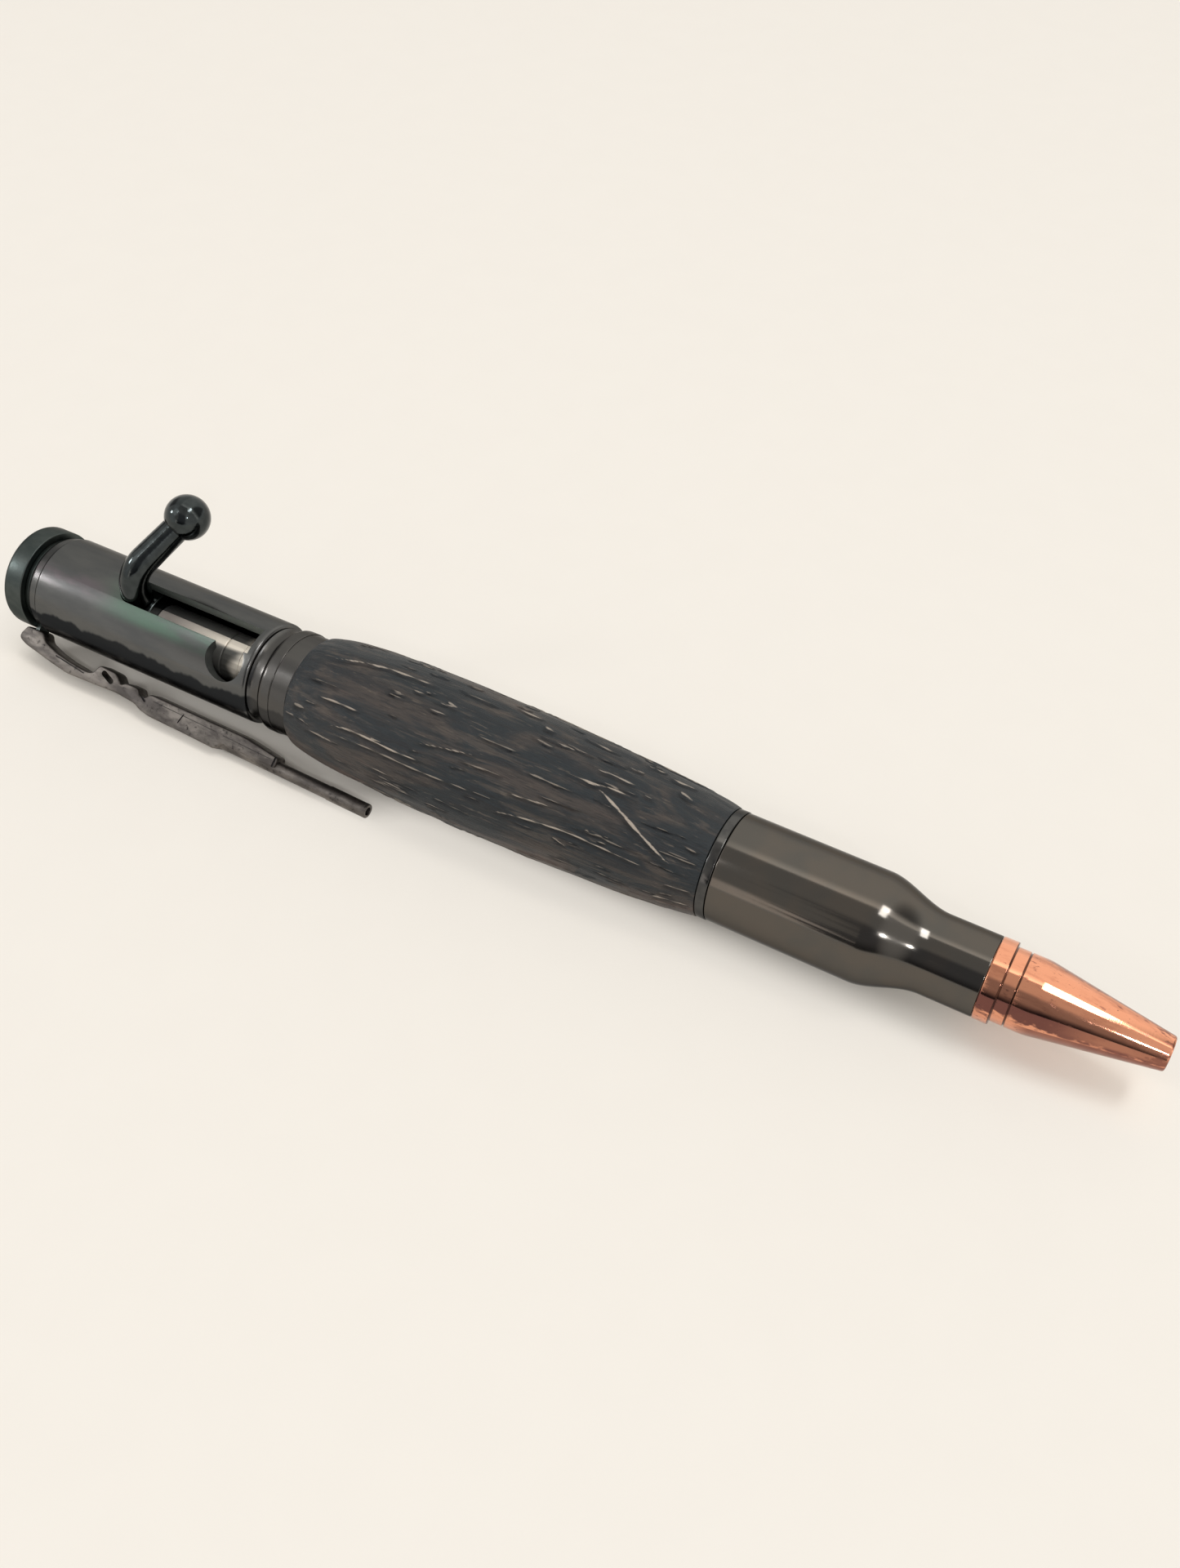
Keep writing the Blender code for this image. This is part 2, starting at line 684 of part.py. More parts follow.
def bolt_handle_and_knob(parent):
    """Stem that leaves the bolt square, bends away along the pen and ends in a ball pushed on its pin."""
    outward = Vector((0, 0, 1))
    sweep = Vector((math.sin(stem_sweep), math.cos(stem_sweep), 0))
    normal = sweep.cross(outward)
    seat = carrier_radius + seam
    bend_start = housing_radius - housing_rounding + stem_straight - seam
    stations = [
        (outward * stud_floor, stud_radius, outward),
        (outward * seat, stud_radius, outward),
        (outward * seat, stem_radius, outward),
    ]
    first = outward * (bend_start - stem_straight)
    for k in range(stem_bend_steps + 1):
        turn = stem_bend * k / stem_bend_steps
        centre = first + stem_bend_radius * (sweep * (1 - math.cos(turn)) + outward * math.sin(turn))
        stations.append((centre, stem_radius, outward * math.cos(turn) + sweep * math.sin(turn)))
    last, _, aim = stations[-1]
    knob_centre = last + aim * stem_reach
    flat = math.sqrt(knob_radius**2 - stem_end_radius**2)
    neck = knob_centre - aim * flat
    stations.append((neck, stem_end_radius, aim))
    stations.append((neck, knob_pin_radius, aim))
    stations.append((neck + aim * knob_pin_length, knob_pin_radius, aim))
    swept("bolt_handle", stations, normal, black_metal, parent)

    pin_hole = knob_pin_radius + fit
    start = math.atan2(stem_end_radius, flat)
    x_floor = knob_pin_length + fit - flat
    outline = [(x_floor, 0.0), (x_floor, pin_hole), (seam - flat, pin_hole)]
    for k in range(knob_steps + 1):
        turn = start + (math.pi - start) * k / knob_steps
        outline.append((max(-knob_radius * math.cos(turn), seam - flat), knob_radius * math.sin(turn)))
    outline[-1] = (knob_radius, 0.0)
    knob = turned("handle_knob", outline, black_metal, parent, inner_sides)
    knob.location = knob_centre
    knob.rotation_euler = Vector((1, 0, 0)).rotation_difference(aim).to_euler()


def refill_tube(parent):
    """Metal ink tube."""
    x_rear = x_refill_rear + crown_length + seam
    corners = [
        (x_refill_tube_front, refill_bore_radius),
        (x_refill_tube_front, refill_radius),
        (x_rear, refill_radius),
        (x_rear, refill_bore_radius),
    ]
    turned("refill_tube", corners, bright_metal, parent, inner_sides)


def refill_crown(parent):
    """Rear end of the refill, skirted into the tube."""
    x_shoulder = x_refill_rear + crown_length
    x_skirt = x_shoulder + crown_skirt_length
    corners = [
        (x_skirt, 0.0, 0.0),
        (x_skirt, skirt_radius, 0.0),
        (x_shoulder, skirt_radius, 0.0),
        (x_shoulder, refill_radius, 0.0),
        (x_refill_rear, refill_radius, push_rod_rounding),
        (x_refill_rear, 0.0, 0.0),
    ]
    turned("refill_crown", rounded(corners), bright_metal, parent, inner_sides)


def refill_nose(parent):
    """Socket for the tip, with a skirt in the tube and the shoulder that the spring presses on."""
    x_shoulder = x_refill_tube_front + seam
    x_skirt = x_shoulder - refill_nose_skirt_length
    x_tail = x_refill_shoulder - tip_tail_length - fit
    corners = [
        (x_refill_shoulder, tip_tail_radius + fit, 0.0),
        (x_refill_shoulder, refill_nose_radius, refill_nose_rounding),
        (x_shoulder, refill_nose_radius, 0.0),
        (x_shoulder, skirt_radius, 0.0),
        (x_skirt, skirt_radius, 0.0),
        (x_skirt, ink_channel_radius, 0.0),
        (x_tail, ink_channel_radius, 0.0),
        (x_tail, tip_tail_radius + fit, 0.0),
    ]
    turned("refill_nose", rounded(corners), brass, parent, inner_sides)


def writing_tip(parent):
    """Steel tip: a tail in the socket, a straight shank and a cone with the ball's seat and ink channel."""
    x_ball = x_refill_point - ball_radius
    x_face = x_refill_point - ball_stands_out
    x_cone = x_refill_point - tip_cone_length
    x_shoulder = x_refill_shoulder + seam
    x_tail = x_refill_shoulder - tip_tail_length
    seat_radius = ball_radius + ball_gap
    outline = [
        (x_tail, ink_channel_radius),
        (x_tail, tip_tail_radius),
        (x_shoulder, tip_tail_radius),
        (x_shoulder, tip_radius),
        (x_cone, tip_radius),
        (x_face, tip_face_radius),
    ]
    channel = ink_channel_radius / 2
    first = math.acos((x_face - x_ball) / seat_radius)
    last = math.pi - math.asin(channel / seat_radius)
    for k in range(ball_steps + 1):
        turn = first + (last - first) * k / ball_steps
        outline.append((x_ball + seat_radius * math.cos(turn), seat_radius * math.sin(turn)))
    outline.append((x_cone, channel))
    outline.append((x_cone, ink_channel_radius))
    turned("writing_tip", outline, steel, parent, small_sides)


def writing_ball(parent):
    """Ball held in the tip's seat, centred on its own frame."""
    shape = bmesh.new()
    bmesh.ops.create_uvsphere(shape, u_segments=small_sides, v_segments=ball_steps, radius=ball_radius)
    placed("writing_ball", shape, steel, parent)


def ink_column(parent):
    """The ink that fills the front part of the tube."""
    x_front = x_refill_tube_front - refill_nose_skirt_length
    x_rear = x_front - ink_length
    corners = [(x_front, 0.0), (x_front, skirt_radius), (x_rear, skirt_radius), (x_rear, 0.0)]
    turned("ink_column", corners, ink, parent, small_sides)


def return_spring(parent):
    """Coil spring between the nose's seat and the refill's shoulder, one unbroken wire with straight ends."""
    first = x_spring_seat - wire_radius - spring_end_clearance
    last = x_refill_shoulder + wire_radius + spring_end_clearance
    count = spring_curls * points_per_curl
    points = []
    for k in range(count + 1):
        turn = 2 * math.pi * k / points_per_curl
        x = first + (last - first) * k / count
        points.append(Vector((x, spring_radius * math.sin(turn), spring_radius * math.cos(turn))))
    lead_in = points[0] + (points[0] - points[1]).normalized() * 2 * wire_radius
    lead_in.x = first
    lead_out = points[-1] + (points[-1] - points[-2]).normalized() * 2 * wire_radius
    lead_out.x = last
    points = [lead_in, *points, lead_out]

    curve = bpy.data.curves.new("return_spring", "CURVE")
    curve.dimensions = "3D"
    curve.bevel_depth = wire_radius
    curve.bevel_resolution = 1
    curve.use_fill_caps = True
    curve.materials.append(steel)
    line = curve.splines.new("POLY")
    line.points.add(len(points) - 1)
    for point, place in zip(line.points, points):
        point.co = (*place, 1.0)
    wire = bpy.data.objects.new("return_spring", curve)
    bpy.context.scene.collection.objects.link(wire)
    wire.parent = parent

    apart = points_per_curl // 2
    near = [(a - b).length for i, a in enumerate(points) for b in points[i + apart :]]
    gap = min(near) - 2 * wire_radius
    print(f"spring's least gap to itself: {gap / mm:.2f} mm, least allowed: {least_wire_gap / mm:.1f} mm")


def rest_on_ground(root):
    """Moves the whole pen so that the origin lies at the bottom centre of its box."""
    bpy.context.view_layer.update()
    graph = bpy.context.evaluated_depsgraph_get()
    points = []
    for thing in bpy.data.objects:
        if thing.type in {"MESH", "CURVE"} and not thing.hide_render:
            solid = thing.evaluated_get(graph)
            points += [thing.matrix_world @ vertex.co for vertex in solid.to_mesh().vertices]
            solid.to_mesh_clear()
    middle = [(min(p[axis] for p in points) + max(p[axis] for p in points)) / 2 for axis in (0, 1)]
    root.location = (-middle[0], -middle[1], -min(p.z for p in points))


for old in list(bpy.data.objects):
    bpy.data.objects.remove(old)

copper = look("copper", (0.72, 0.30, 0.17), 0.22, 1.0)
gunmetal = look("gunmetal", (0.14, 0.125, 0.12), 0.24, 1.0)
black_metal = look("black_metal", (0.035, 0.04, 0.04), 0.18, 1.0)
bright_metal = look("bright_metal", (0.78, 0.74, 0.66), 0.25, 1.0)
pewter = look("pewter", (0.30, 0.27, 0.25), 0.45, 1.0)
brass = look("brass", (0.72, 0.52, 0.22), 0.30, 1.0)
steel = look("steel", (0.60, 0.60, 0.60), 0.25, 1.0)
wood = look("wood", (0.060, 0.040, 0.032), 0.45, 0.0)
ink = look("ink", (0.01, 0.01, 0.015), 0.30, 0.0)

x_clip_pivot = (x_clip_ring_front + x_clip_ring_rear) / 2
pen = frame("pen")
nose_frame = frame("nose_frame", pen)
bolt_frame = frame("bolt_frame", pen)
handle_frame = frame("handle_frame", bolt_frame, x_handle, slot_roll)
refill_frame = frame("refill_frame", pen)
ball_frame = frame("ball_frame", refill_frame, x_refill_point - ball_radius)
clip_frame = frame("clip_frame", pen, x_clip_pivot, clip_roll, clip_ring_radius)

bullet_nose(nose_frame)
cartridge_case(nose_frame)
thread_bush(nose_frame)
front_coupler(pen)
brass_tube(pen)
wood_barrel(pen)
rear_coupler(pen)
bolt_housing(pen)
end_cap(pen)
primer_disc(pen)
clip_ring(pen)
pocket_clip(clip_frame)
bolt_carrier(bolt_frame)
push_rod(bolt_frame)
bolt_handle_and_knob(handle_frame)
refill_tube(refill_frame)
refill_crown(refill_frame)
refill_nose(refill_frame)
writing_tip(refill_frame)
writing_ball(ball_frame)
ink_column(refill_frame)
return_spring(pen)
rest_on_ground(pen)
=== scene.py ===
import math
import random

import bpy
import numpy as np
from mathutils import Matrix, Vector


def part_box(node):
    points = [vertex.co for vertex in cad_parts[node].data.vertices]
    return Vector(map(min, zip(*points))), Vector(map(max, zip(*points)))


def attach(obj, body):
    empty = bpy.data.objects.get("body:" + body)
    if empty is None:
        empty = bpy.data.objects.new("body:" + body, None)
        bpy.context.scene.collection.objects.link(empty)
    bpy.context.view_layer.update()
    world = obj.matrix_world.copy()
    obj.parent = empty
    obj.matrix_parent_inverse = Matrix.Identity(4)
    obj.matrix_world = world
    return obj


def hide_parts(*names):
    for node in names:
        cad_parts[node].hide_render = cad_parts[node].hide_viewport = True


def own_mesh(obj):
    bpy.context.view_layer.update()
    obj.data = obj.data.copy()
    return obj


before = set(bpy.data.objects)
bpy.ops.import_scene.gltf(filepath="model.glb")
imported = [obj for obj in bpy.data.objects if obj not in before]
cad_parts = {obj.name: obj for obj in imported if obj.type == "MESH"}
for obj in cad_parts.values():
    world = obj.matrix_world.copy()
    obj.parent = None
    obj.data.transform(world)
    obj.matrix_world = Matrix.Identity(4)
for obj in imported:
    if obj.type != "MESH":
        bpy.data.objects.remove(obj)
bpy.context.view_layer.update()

# A bolt-action pen with a carved wooden barrel and a cartridge-shaped nose. It lies along X with its point
# towards +X. Stations are in mm from the point, so they grow more negative towards the cap. Rolls turn
# about the pen's axis: 0 is straight up and 90 degrees faces -Y.

# The table: a pale cream sheet under soft daylight, seen from above and from the clip's side.
# The camera stands where its view lines up with the outline of the pen in the picture.
mm = 0.001
degree = math.radians(1)
bpy.context.scene.view_settings.view_transform = "Standard"

eye = Vector((59.6, -92.88, 133.02)) * mm
look_along = Vector((-0.3217, 0.5762, -0.7512)).normalized()
look_right = Vector((0.8732, 0.4874, 0.0))
look_right = (look_right - look_right.dot(look_along) * look_along).normalized()
look_up = look_right.cross(look_along)
camera_data = bpy.data.cameras.new("camera")
camera_data.lens = 34.89
camera_data.sensor_fit = "VERTICAL"
camera_data.sensor_height = 36.0
camera_data.clip_start = 0.005
camera = bpy.data.objects.new("camera", camera_data)
bpy.context.scene.collection.objects.link(camera)
turn = Matrix((look_right, look_up, -look_along)).transposed().to_4x4()
camera.matrix_world = Matrix.Translation(eye) @ turn
bpy.context.scene.camera = camera


class Stain:
    """A socket of a material. Sums on it add Math nodes, and node() adds any other node."""

    def __init__(self, tree, socket=None):
        self.tree = tree
        self.socket = socket

    def node(self, kind, settings, values, output=0):
        made = self.tree.nodes.new("ShaderNode" + kind)
        for name, setting in settings.items():
            setattr(made, name, setting)
        for name, value in values.items():
            if isinstance(value, Stain):
                self.tree.links.new(value.socket, made.inputs[name])
            else:
                made.inputs[name].default_value = value
        return Stain(self.tree, made.outputs[output])

    def sum(self, operation, *values):
        return self.node("Math", {"operation": operation}, dict(enumerate(values)))

    def least(self, other):
        return self.sum("MINIMUM", self, other)

    def __add__(self, other):
        return self.sum("ADD", self, other)

    def __sub__(self, other):
        return self.sum("SUBTRACT", self, other)

    def __rsub__(self, other):
        return self.sum("SUBTRACT", other, self)

    def __mul__(self, other):
        return self.sum("MULTIPLY", self, other)

    def __truediv__(self, other):
        return self.sum("DIVIDE", self, other)

    __radd__ = __add__
    __rmul__ = __mul__

    def clamp(self, low, high):
        """Eases from 0 at low to 1 at high."""
        settings = {"interpolation_type": "SMOOTHSTEP"}
        return self.node("MapRange", settings, {"Value": self, "From Min": low, "From Max": high})

    def colours(self, low, high):
        """Colour that goes from low to high as this goes from 0 to 1."""
        ends = [end if isinstance(end, Stain) else (*end, 1.0) for end in (low, high)]
        return self.node("Mix", {"data_type": "RGBA"}, {0: self, 6: ends[0], 7: ends[1]}, 2)

    def where(self, axes):
        """Object coordinates in metres, as one number for each axis that is named."""
        spot = self.node("TexCoord", {}, {}, "Object")
        return [self.node("SeparateXYZ", {}, {"Vector": spot}, axis) for axis in axes]

    def cloud(self, scale, detail=3.0, roughness=0.5, distortion=0.0):
        """Noise from 0 to 1 with the given cells per metre along each axis."""
        cells = scale if isinstance(scale, tuple) else (scale, scale, scale)
        spot = self.node("TexCoord", {}, {}, "Object")
        values = {"Vector": self.node("Mapping", {}, {"Vector": spot, "Scale": cells}), "Scale": 1.0}
        values.update({"Detail": detail, "Roughness": roughness, "Distortion": distortion})
        return self.node("TexNoise", {}, values)

    def raised(self, strength, distance):
        """Normal from this height, a share of distance in metres."""
        return self.node("Bump", {}, {"Strength": strength, "Distance": distance, "Height": self})


def finish(name, **sockets):
    """A material and the start of its nodes, with values set on the shader's own sockets."""
    material = bpy.data.materials.new(name)
    material.use_nodes = True
    shader = material.node_tree.nodes["Principled BSDF"]
    for socket, value in sockets.items():
        shader.inputs[socket.replace("_", " ")].default_value = value
    return material, Stain(material.node_tree)


def feed(material, **sockets):
    """Joins varying values to the shader's sockets."""
    shader = material.node_tree.nodes["Principled BSDF"]
    for socket, value in sockets.items():
        material.node_tree.links.new(value.socket, shader.inputs[socket.replace("_", " ")])


# Round the pen the lamps light the sheet, so it keeps the pen's shadow. Further off it also glows, to the
# camera and in reflections, as an even pale background does.
paper, grain = finish("table_paper", Roughness=0.85)
speckle = grain.cloud(160.0, 4.0).clamp(0.3, 0.7)
tint = speckle.colours((0.85, 0.809, 0.746), (0.865, 0.824, 0.761))
feed(paper, Base_Color=tint, Normal=grain.cloud(2600.0, 4.0).raised(0.05, 0.0002))
rays = [grain.node("LightPath", {}, {}, f"Is {kind} Ray") for kind in ("Camera", "Glossy", "Transmission")]
seen = sum(rays).least(1.0)
lit = Stain(grain.tree, grain.tree.nodes["Principled BSDF"].outputs[0])
glow = grain.node("Emission", {}, {"Color": (0.880, 0.833, 0.762, 1.0), "Strength": 1.0})
glow_share = 0.66
along, across = grain.where("XY")
beside = (grain.sum("ABSOLUTE", across) + along.clamp(-0.030, -0.008) * 0.0055).clamp(0.0065, 0.0115)
beyond = grain.sum("ABSOLUTE", along).clamp(0.068, 0.076)
apart = 1.0 - (1.0 - beside) * (1.0 - beyond)
sheet = grain.node("MixShader", {}, {0: seen * apart * glow_share, 1: lit, 2: glow})
grain.tree.links.new(sheet.socket, grain.tree.nodes["Material Output"].inputs["Surface"])
bpy.ops.mesh.primitive_plane_add(size=3.0, location=(0.0, 0.0, 0.0))
table = bpy.context.object
table.name = "table"
table.data.materials.append(paper)

# The room's daylight: bright on the far side, most of all overhead, and dim at both ends. The near side is
# dimmer, with a bright patch of wall, a dark shape with a ragged edge and a pale strip over the table.
world = bpy.data.worlds.new("daylight")
bpy.context.scene.world = world
world.use_nodes = True
sky = Stain(world.node_tree)
ray = sky.node("TexCoord", {}, {}, "Generated")
east, north, height = [sky.node("SeparateXYZ", {}, {"Vector": ray}, axis) for axis in "XYZ"]
far_side = north.clamp(-0.01, 0.04)
left = 1.0 - east.clamp(-0.46, -0.34)
far_light = left.colours((1.12, 1.09, 1.02), (0.78, 0.77, 0.73))
outside = east.clamp(0.34, 0.50) + (1.0 - east.clamp(-0.85, -0.70))
far_light = outside.colours(far_light, (0.30, 0.29, 0.28))
crown = (1.0 - north.clamp(0.03, 0.30)) * east.clamp(-0.40, -0.26)
far_light = crown.colours(far_light, (2.1, 1.98, 1.82))
near_light = left.colours((0.57, 0.55, 0.52), (0.92, 0.91, 0.88))
near_light = outside.colours(near_light, (0.85, 0.82, 0.78))
wall = east.clamp(-0.38, -0.31) * (1.0 - east.clamp(-0.14, -0.08))
wall = wall * (1.0 - height.clamp(0.28, 0.38)) * (north * -1.0).clamp(0.5, 0.7)
near_light = wall.colours(near_light, (1.62, 1.48, 1.36))
spikes = sky.node("Mapping", {}, {"Vector": ray, "Scale": (2.0, 12.0, 12.0)})
ragged = sky.node("TexNoise", {}, {"Vector": spikes, "Scale": 1.0, "Detail": 3.0, "Roughness": 0.6})
shade = (north * -1.0).clamp(0.50, 0.66) * (east + (ragged - 0.5) * 0.7).clamp(-0.19, -0.16)
shade = shade * (1.0 - east.clamp(0.40, 0.60))
depth = height.clamp(0.02, 0.45)
near_light = shade.colours(near_light, depth.colours((0.05, 0.05, 0.055), (0.24, 0.24, 0.25)))
far_light = (1.0 - height.clamp(0.10, 0.24)).colours(far_light, (0.97, 0.945, 0.90))
near_light = (1.0 - height.clamp(0.040, 0.070)).colours(near_light, (0.90, 0.875, 0.83))
room = far_side.colours(near_light, far_light)
background = world.node_tree.nodes["Background"]
world.node_tree.links.new(room.socket, background.inputs["Color"])
background.inputs["Strength"].default_value = 1.0


lamp_distance = 0.7


def lamp(name, heading, width, length, power, shape="ELLIPSE"):
    """A soft light that faces the pen, with its width along the pen and its length across it."""
    data = bpy.data.lights.new(name, "AREA")
    data.shape = shape
    data.size = width
    data.size_y = length
    data.energy = power
    thing = bpy.data.objects.new(name, data)
    bpy.context.scene.collection.objects.link(thing)
    away = Vector(heading).normalized()
    aside = Vector((1.0, 0.0, 0.0))
    aside = (aside - aside.dot(away) * away).normalized()
    turn = Matrix((aside, away.cross(aside), away)).transposed().to_4x4()
    thing.matrix_world = Matrix.Translation(away * lamp_distance) @ turn


lamp("ceiling_light", (0.365, 0.05, 0.93), 0.120, 0.25, 0.90, shape="RECTANGLE")
lamp("ceiling_light_2", (0.40, 0.11, 0.91), 0.03, 0.04, 0.10)
lamp("side_light", (0.52, -0.585, 0.625), 0.042, 0.042, 0.50)
lamp("shelf_light", (-0.38, -0.49, 0.78), 0.10, 0.10, 0.07)
lamp("window_left", (-0.52, -0.50, 0.69), 0.34, 0.34, 0.18)
lamp("doorway", (-0.80, -0.40, 0.45), 0.10, 0.10, 0.7)

# Nose: a copper cone with a fine groove, a waist and a second band, turned and plated.
# It is open at its point for the refill, and its spigot is pushed into the neck of the case.
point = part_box("bullet_nose")[1].x
case_low, case_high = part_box("cartridge_case")
axis_y, axis_z = (case_low.y + case_high.y) / 2, (case_low.z + case_high.z) / 2


def rounded(corners, steps=5):
    """Outline in mm through corners of (station, radius, rounding)."""
    points = []
    for i, (x, r, size) in enumerate(corners):
        here = Vector((x, r))
        if size == 0:
            points.append((x, r))
            continue
        back = Vector(corners[i - 1][:2]) - here
        ahead = Vector(corners[(i + 1) % len(corners)][:2]) - here
        start = here + back.normalized() * min(size, back.length / 2)
        end = here + ahead.normalized() * min(size, ahead.length / 2)
        for k in range(steps + 1):
            t = k / steps
            p = start * (1 - t) ** 2 + here * 2 * t * (1 - t) + end * t**2
            points.append((p.x, p.y))
    return points


def traced(name, path, depth=0.0):
    """A wire through points in mm of (station, height above the pen's axis), left selected in edit mode."""
    bpy.ops.object.select_all(action="DESELECT")
    bpy.ops.mesh.primitive_plane_add(size=mm, location=(0.0, 0.0, 0.0))
    wire = bpy.context.object
    wire.name = wire.data.name = name
    bpy.ops.object.mode_set(mode="EDIT")
    bpy.ops.mesh.merge(type="CENTER")
    x, height = path[0]
    bpy.ops.transform.translate(value=(point + x * mm, axis_y + depth * mm, axis_z + height * mm))
    for (x0, z0), (x1, z1) in zip(path, path[1:]):
        step = ((x1 - x0) * mm, 0.0, (z1 - z0) * mm)
        bpy.ops.mesh.extrude_region_move(TRANSFORM_OT_translate={"value": step})
    bpy.ops.mesh.select_all(action="SELECT")
    return wire


def welded():
    """Merges doubles, turns all faces outwards and leaves edit mode."""
    bpy.ops.mesh.select_all(action="SELECT")
    bpy.ops.mesh.remove_doubles(threshold=0.0005 * mm)
    bpy.ops.mesh.normals_make_consistent(inside=False)
    bpy.ops.object.mode_set(mode="OBJECT")


def turned(name, outline, sides=144, closed=True):
    """Lathe work: an outline in mm of (station, radius), spun about the pen's axis into a solid."""
    off_axis = outline[0][1] > 0
    piece = traced(name, outline + outline[:1] if closed and off_axis else outline)
    centre = (0.0, axis_y, axis_z)
    bpy.ops.mesh.spin(steps=sides, angle=2 * math.pi, center=centre, axis=(1.0, 0.0, 0.0))
    welded()
    return piece


def select_only(piece):
    """Leaves one object selected and active."""
    bpy.ops.object.select_all(action="DESELECT")
    piece.select_set(True)
    bpy.context.view_layer.objects.active = piece


def done(piece, material, slot, body, *nodes, angle=32):
    """Smooths a finished piece, gives it its finish and puts it in its node's place."""
    select_only(piece)
    bpy.ops.object.shade_smooth_by_angle(angle=angle * degree)
    if material not in piece.data.materials[:]:
        piece.data.materials.clear()
        piece.data.materials.append(material)
    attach(piece, body)
    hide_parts(*nodes)


def on_pen(surface):
    """Metres along from the point, and across and up from the axis, and the cotangent of the roll."""
    along, across, upward = surface.where("XYZ")
    across, upward = across - axis_y, upward - axis_z
    return along - point, across, upward, upward / (across * -1.0)


# Tarnish on the copper: a blush and a dusky band along the viewer's side, which are tarnish and also painted
# shade for the pen's shadow seen in the copper; a dull patch at the back of the bands, which is painted
# shade;
# stains, specks, and both grooves darkened.
copper, sheen = finish("copper_plate", Metallic=1.0)
patina = sheen.cloud((260.0, 900.0, 900.0), 5.0, 0.62)
blots = sheen.cloud((700.0, 1500.0, 1500.0), 4.0, 0.6)
specks = sheen.cloud((2600.0, 4200.0, 4200.0), 3.0, 0.6).clamp(0.68, 0.74)
along, across, upward, slope = on_pen(sheen)
tone = patina.clamp(0.46, 0.72).colours((0.83, 0.365, 0.220), (0.64, 0.265, 0.160))
ahead = along.clamp(-0.012, -0.005)
# painted shade: the blush along the viewer's side, strongest towards the point, is tarnish that also stands
# in for the pen's shadow seen in the copper
blush_and_shade = (slope + patina * 0.5 - 0.25).clamp(-0.50, -0.25) * (1.0 - slope.clamp(0.1, 0.3))
blush_and_shade = blush_and_shade * (0.1 + ahead * 0.9) * (0.35 + blots.clamp(0.42, 0.56) * 0.45)
tone = blush_and_shade.colours(tone, (0.24, 0.088, 0.074))
# painted shade: the dusky band is tarnish that also stands in for dark surroundings and the pen's shadow seen
# in the copper
dusk_and_shade = (slope + blots * 0.6 - 0.3).clamp(0.02, 0.14)
dusk_and_shade = dusk_and_shade * (1.0 - (slope + patina * 0.5 - 0.25).clamp(0.55, 0.85))
tone = (dusk_and_shade * (0.90 - ahead * 0.35)).colours(tone, (0.105, 0.040, 0.042))
# painted shade: the dull patch on the far upper side stands in for the table's shadow seen in the copper
back = (across / upward + blots * 0.8 - 0.4).clamp(0.50, 0.80)
tone = (back * along.clamp(-0.0145, -0.0125) * 0.8).colours(tone, (0.22, 0.085, 0.065))
more_stain = (1.0 - upward.clamp(-0.004, 0.001)) * 0.05 + along.clamp(-0.0035, -0.0006) * 0.10
stains = (blots + more_stain).clamp(0.60, 0.70)
tone = (stains * 0.85).colours(tone, (0.27, 0.110, 0.080))
tone = specks.colours(tone, (0.08, 0.045, 0.04))
for groove in (-15.03, -16.45):
    inside = 1.0 - sheen.sum("ABSOLUTE", along - groove * mm).clamp(0.00006, 0.00015)
    tone = (inside * 0.9).colours(tone, (0.05, 0.022, 0.018))
feed(copper, Base_Color=tone, Roughness=0.05 + patina * 0.06 + stains * 0.15 + specks * 0.3)
lathe_lines = sheen.cloud((9000.0, 60.0, 60.0), 2.0)
feed(copper, Normal=(lathe_lines * 0.6 + patina * 0.4).raised(0.05, 0.00005))

taper_rear, groove_front, groove_rear, band_front, band_rear = -13.1, -14.95, -15.11, -16.43, -18.05
jacket_radius, groove_radius, band_radius = 3.93, 3.81, 4.36
spigot_rear, spigot_radius, spigot_bore = -23.95, 3.62, 3.12
point_bore, chamber_front, chamber_rear, chamber_bore = 1.30, -4.3, -13.6, 2.15
nose_outline = rounded([
    (0.0, point_bore, 0.0), (0.0, 1.80, 0.25), (taper_rear, jacket_radius, 0.5),
    (groove_front, jacket_radius, 0.04), (groove_front, groove_radius, 0.0),
    (groove_rear, groove_radius, 0.0), (groove_rear, jacket_radius, 0.04),
    (band_front, jacket_radius, 0.06), (band_front, band_radius, 0.14), (band_rear, band_radius, 0.1),
    (band_rear, spigot_radius, 0.0), (spigot_rear, spigot_radius, 0.12), (spigot_rear, spigot_bore, 0.0),
    (chamber_rear, spigot_bore, 0.0), (chamber_rear, chamber_bore, 0.0), (chamber_front, chamber_bore, 0.0),
    (chamber_front, point_bore, 0.0),
])
nose = turned("copper_nose", nose_outline)
done(nose, copper, "copper", "nose", "bullet_nose")

# Case: the front section, drawn thin with a bottle neck and finished in dark, glossy gunmetal.
# It screws on to the front coupler, and the nose is pressed into its neck.
gunmetal, sheen = finish("gunmetal_gloss", Metallic=1.0, Specular_Tint=(0.5, 0.5, 0.5, 1.0))
haze = sheen.cloud((140.0, 500.0, 500.0), 4.0, 0.55)
rub = sheen.cloud((500.0, 3800.0, 3800.0), 3.0, 0.6)
hue = sheen.cloud(260.0, 2.0).clamp(0.35, 0.65)
tone = hue.colours((0.116, 0.103, 0.090), (0.104, 0.097, 0.088))
upward, slope = on_pen(sheen)[2:]
# painted shade: the underside is darkened to stand in for the pen's shadow seen in the gunmetal
belly_shade = (1.0 - (slope + haze * 0.2 - 0.1).clamp(-0.50, -0.26)) * (1.0 - upward.clamp(-0.001, 0.0))
tone = (belly_shade * 0.72).colours(tone, (0.030, 0.029, 0.030))
feed(gunmetal, Base_Color=tone, Roughness=0.06 + haze * 0.07 + rub * 0.04)
lathe_lines = sheen.cloud((7000.0, 40.0, 40.0), 2.0)
feed(gunmetal, Normal=(lathe_lines * 0.5 + rub * 0.5).raised(0.02, 0.00004))

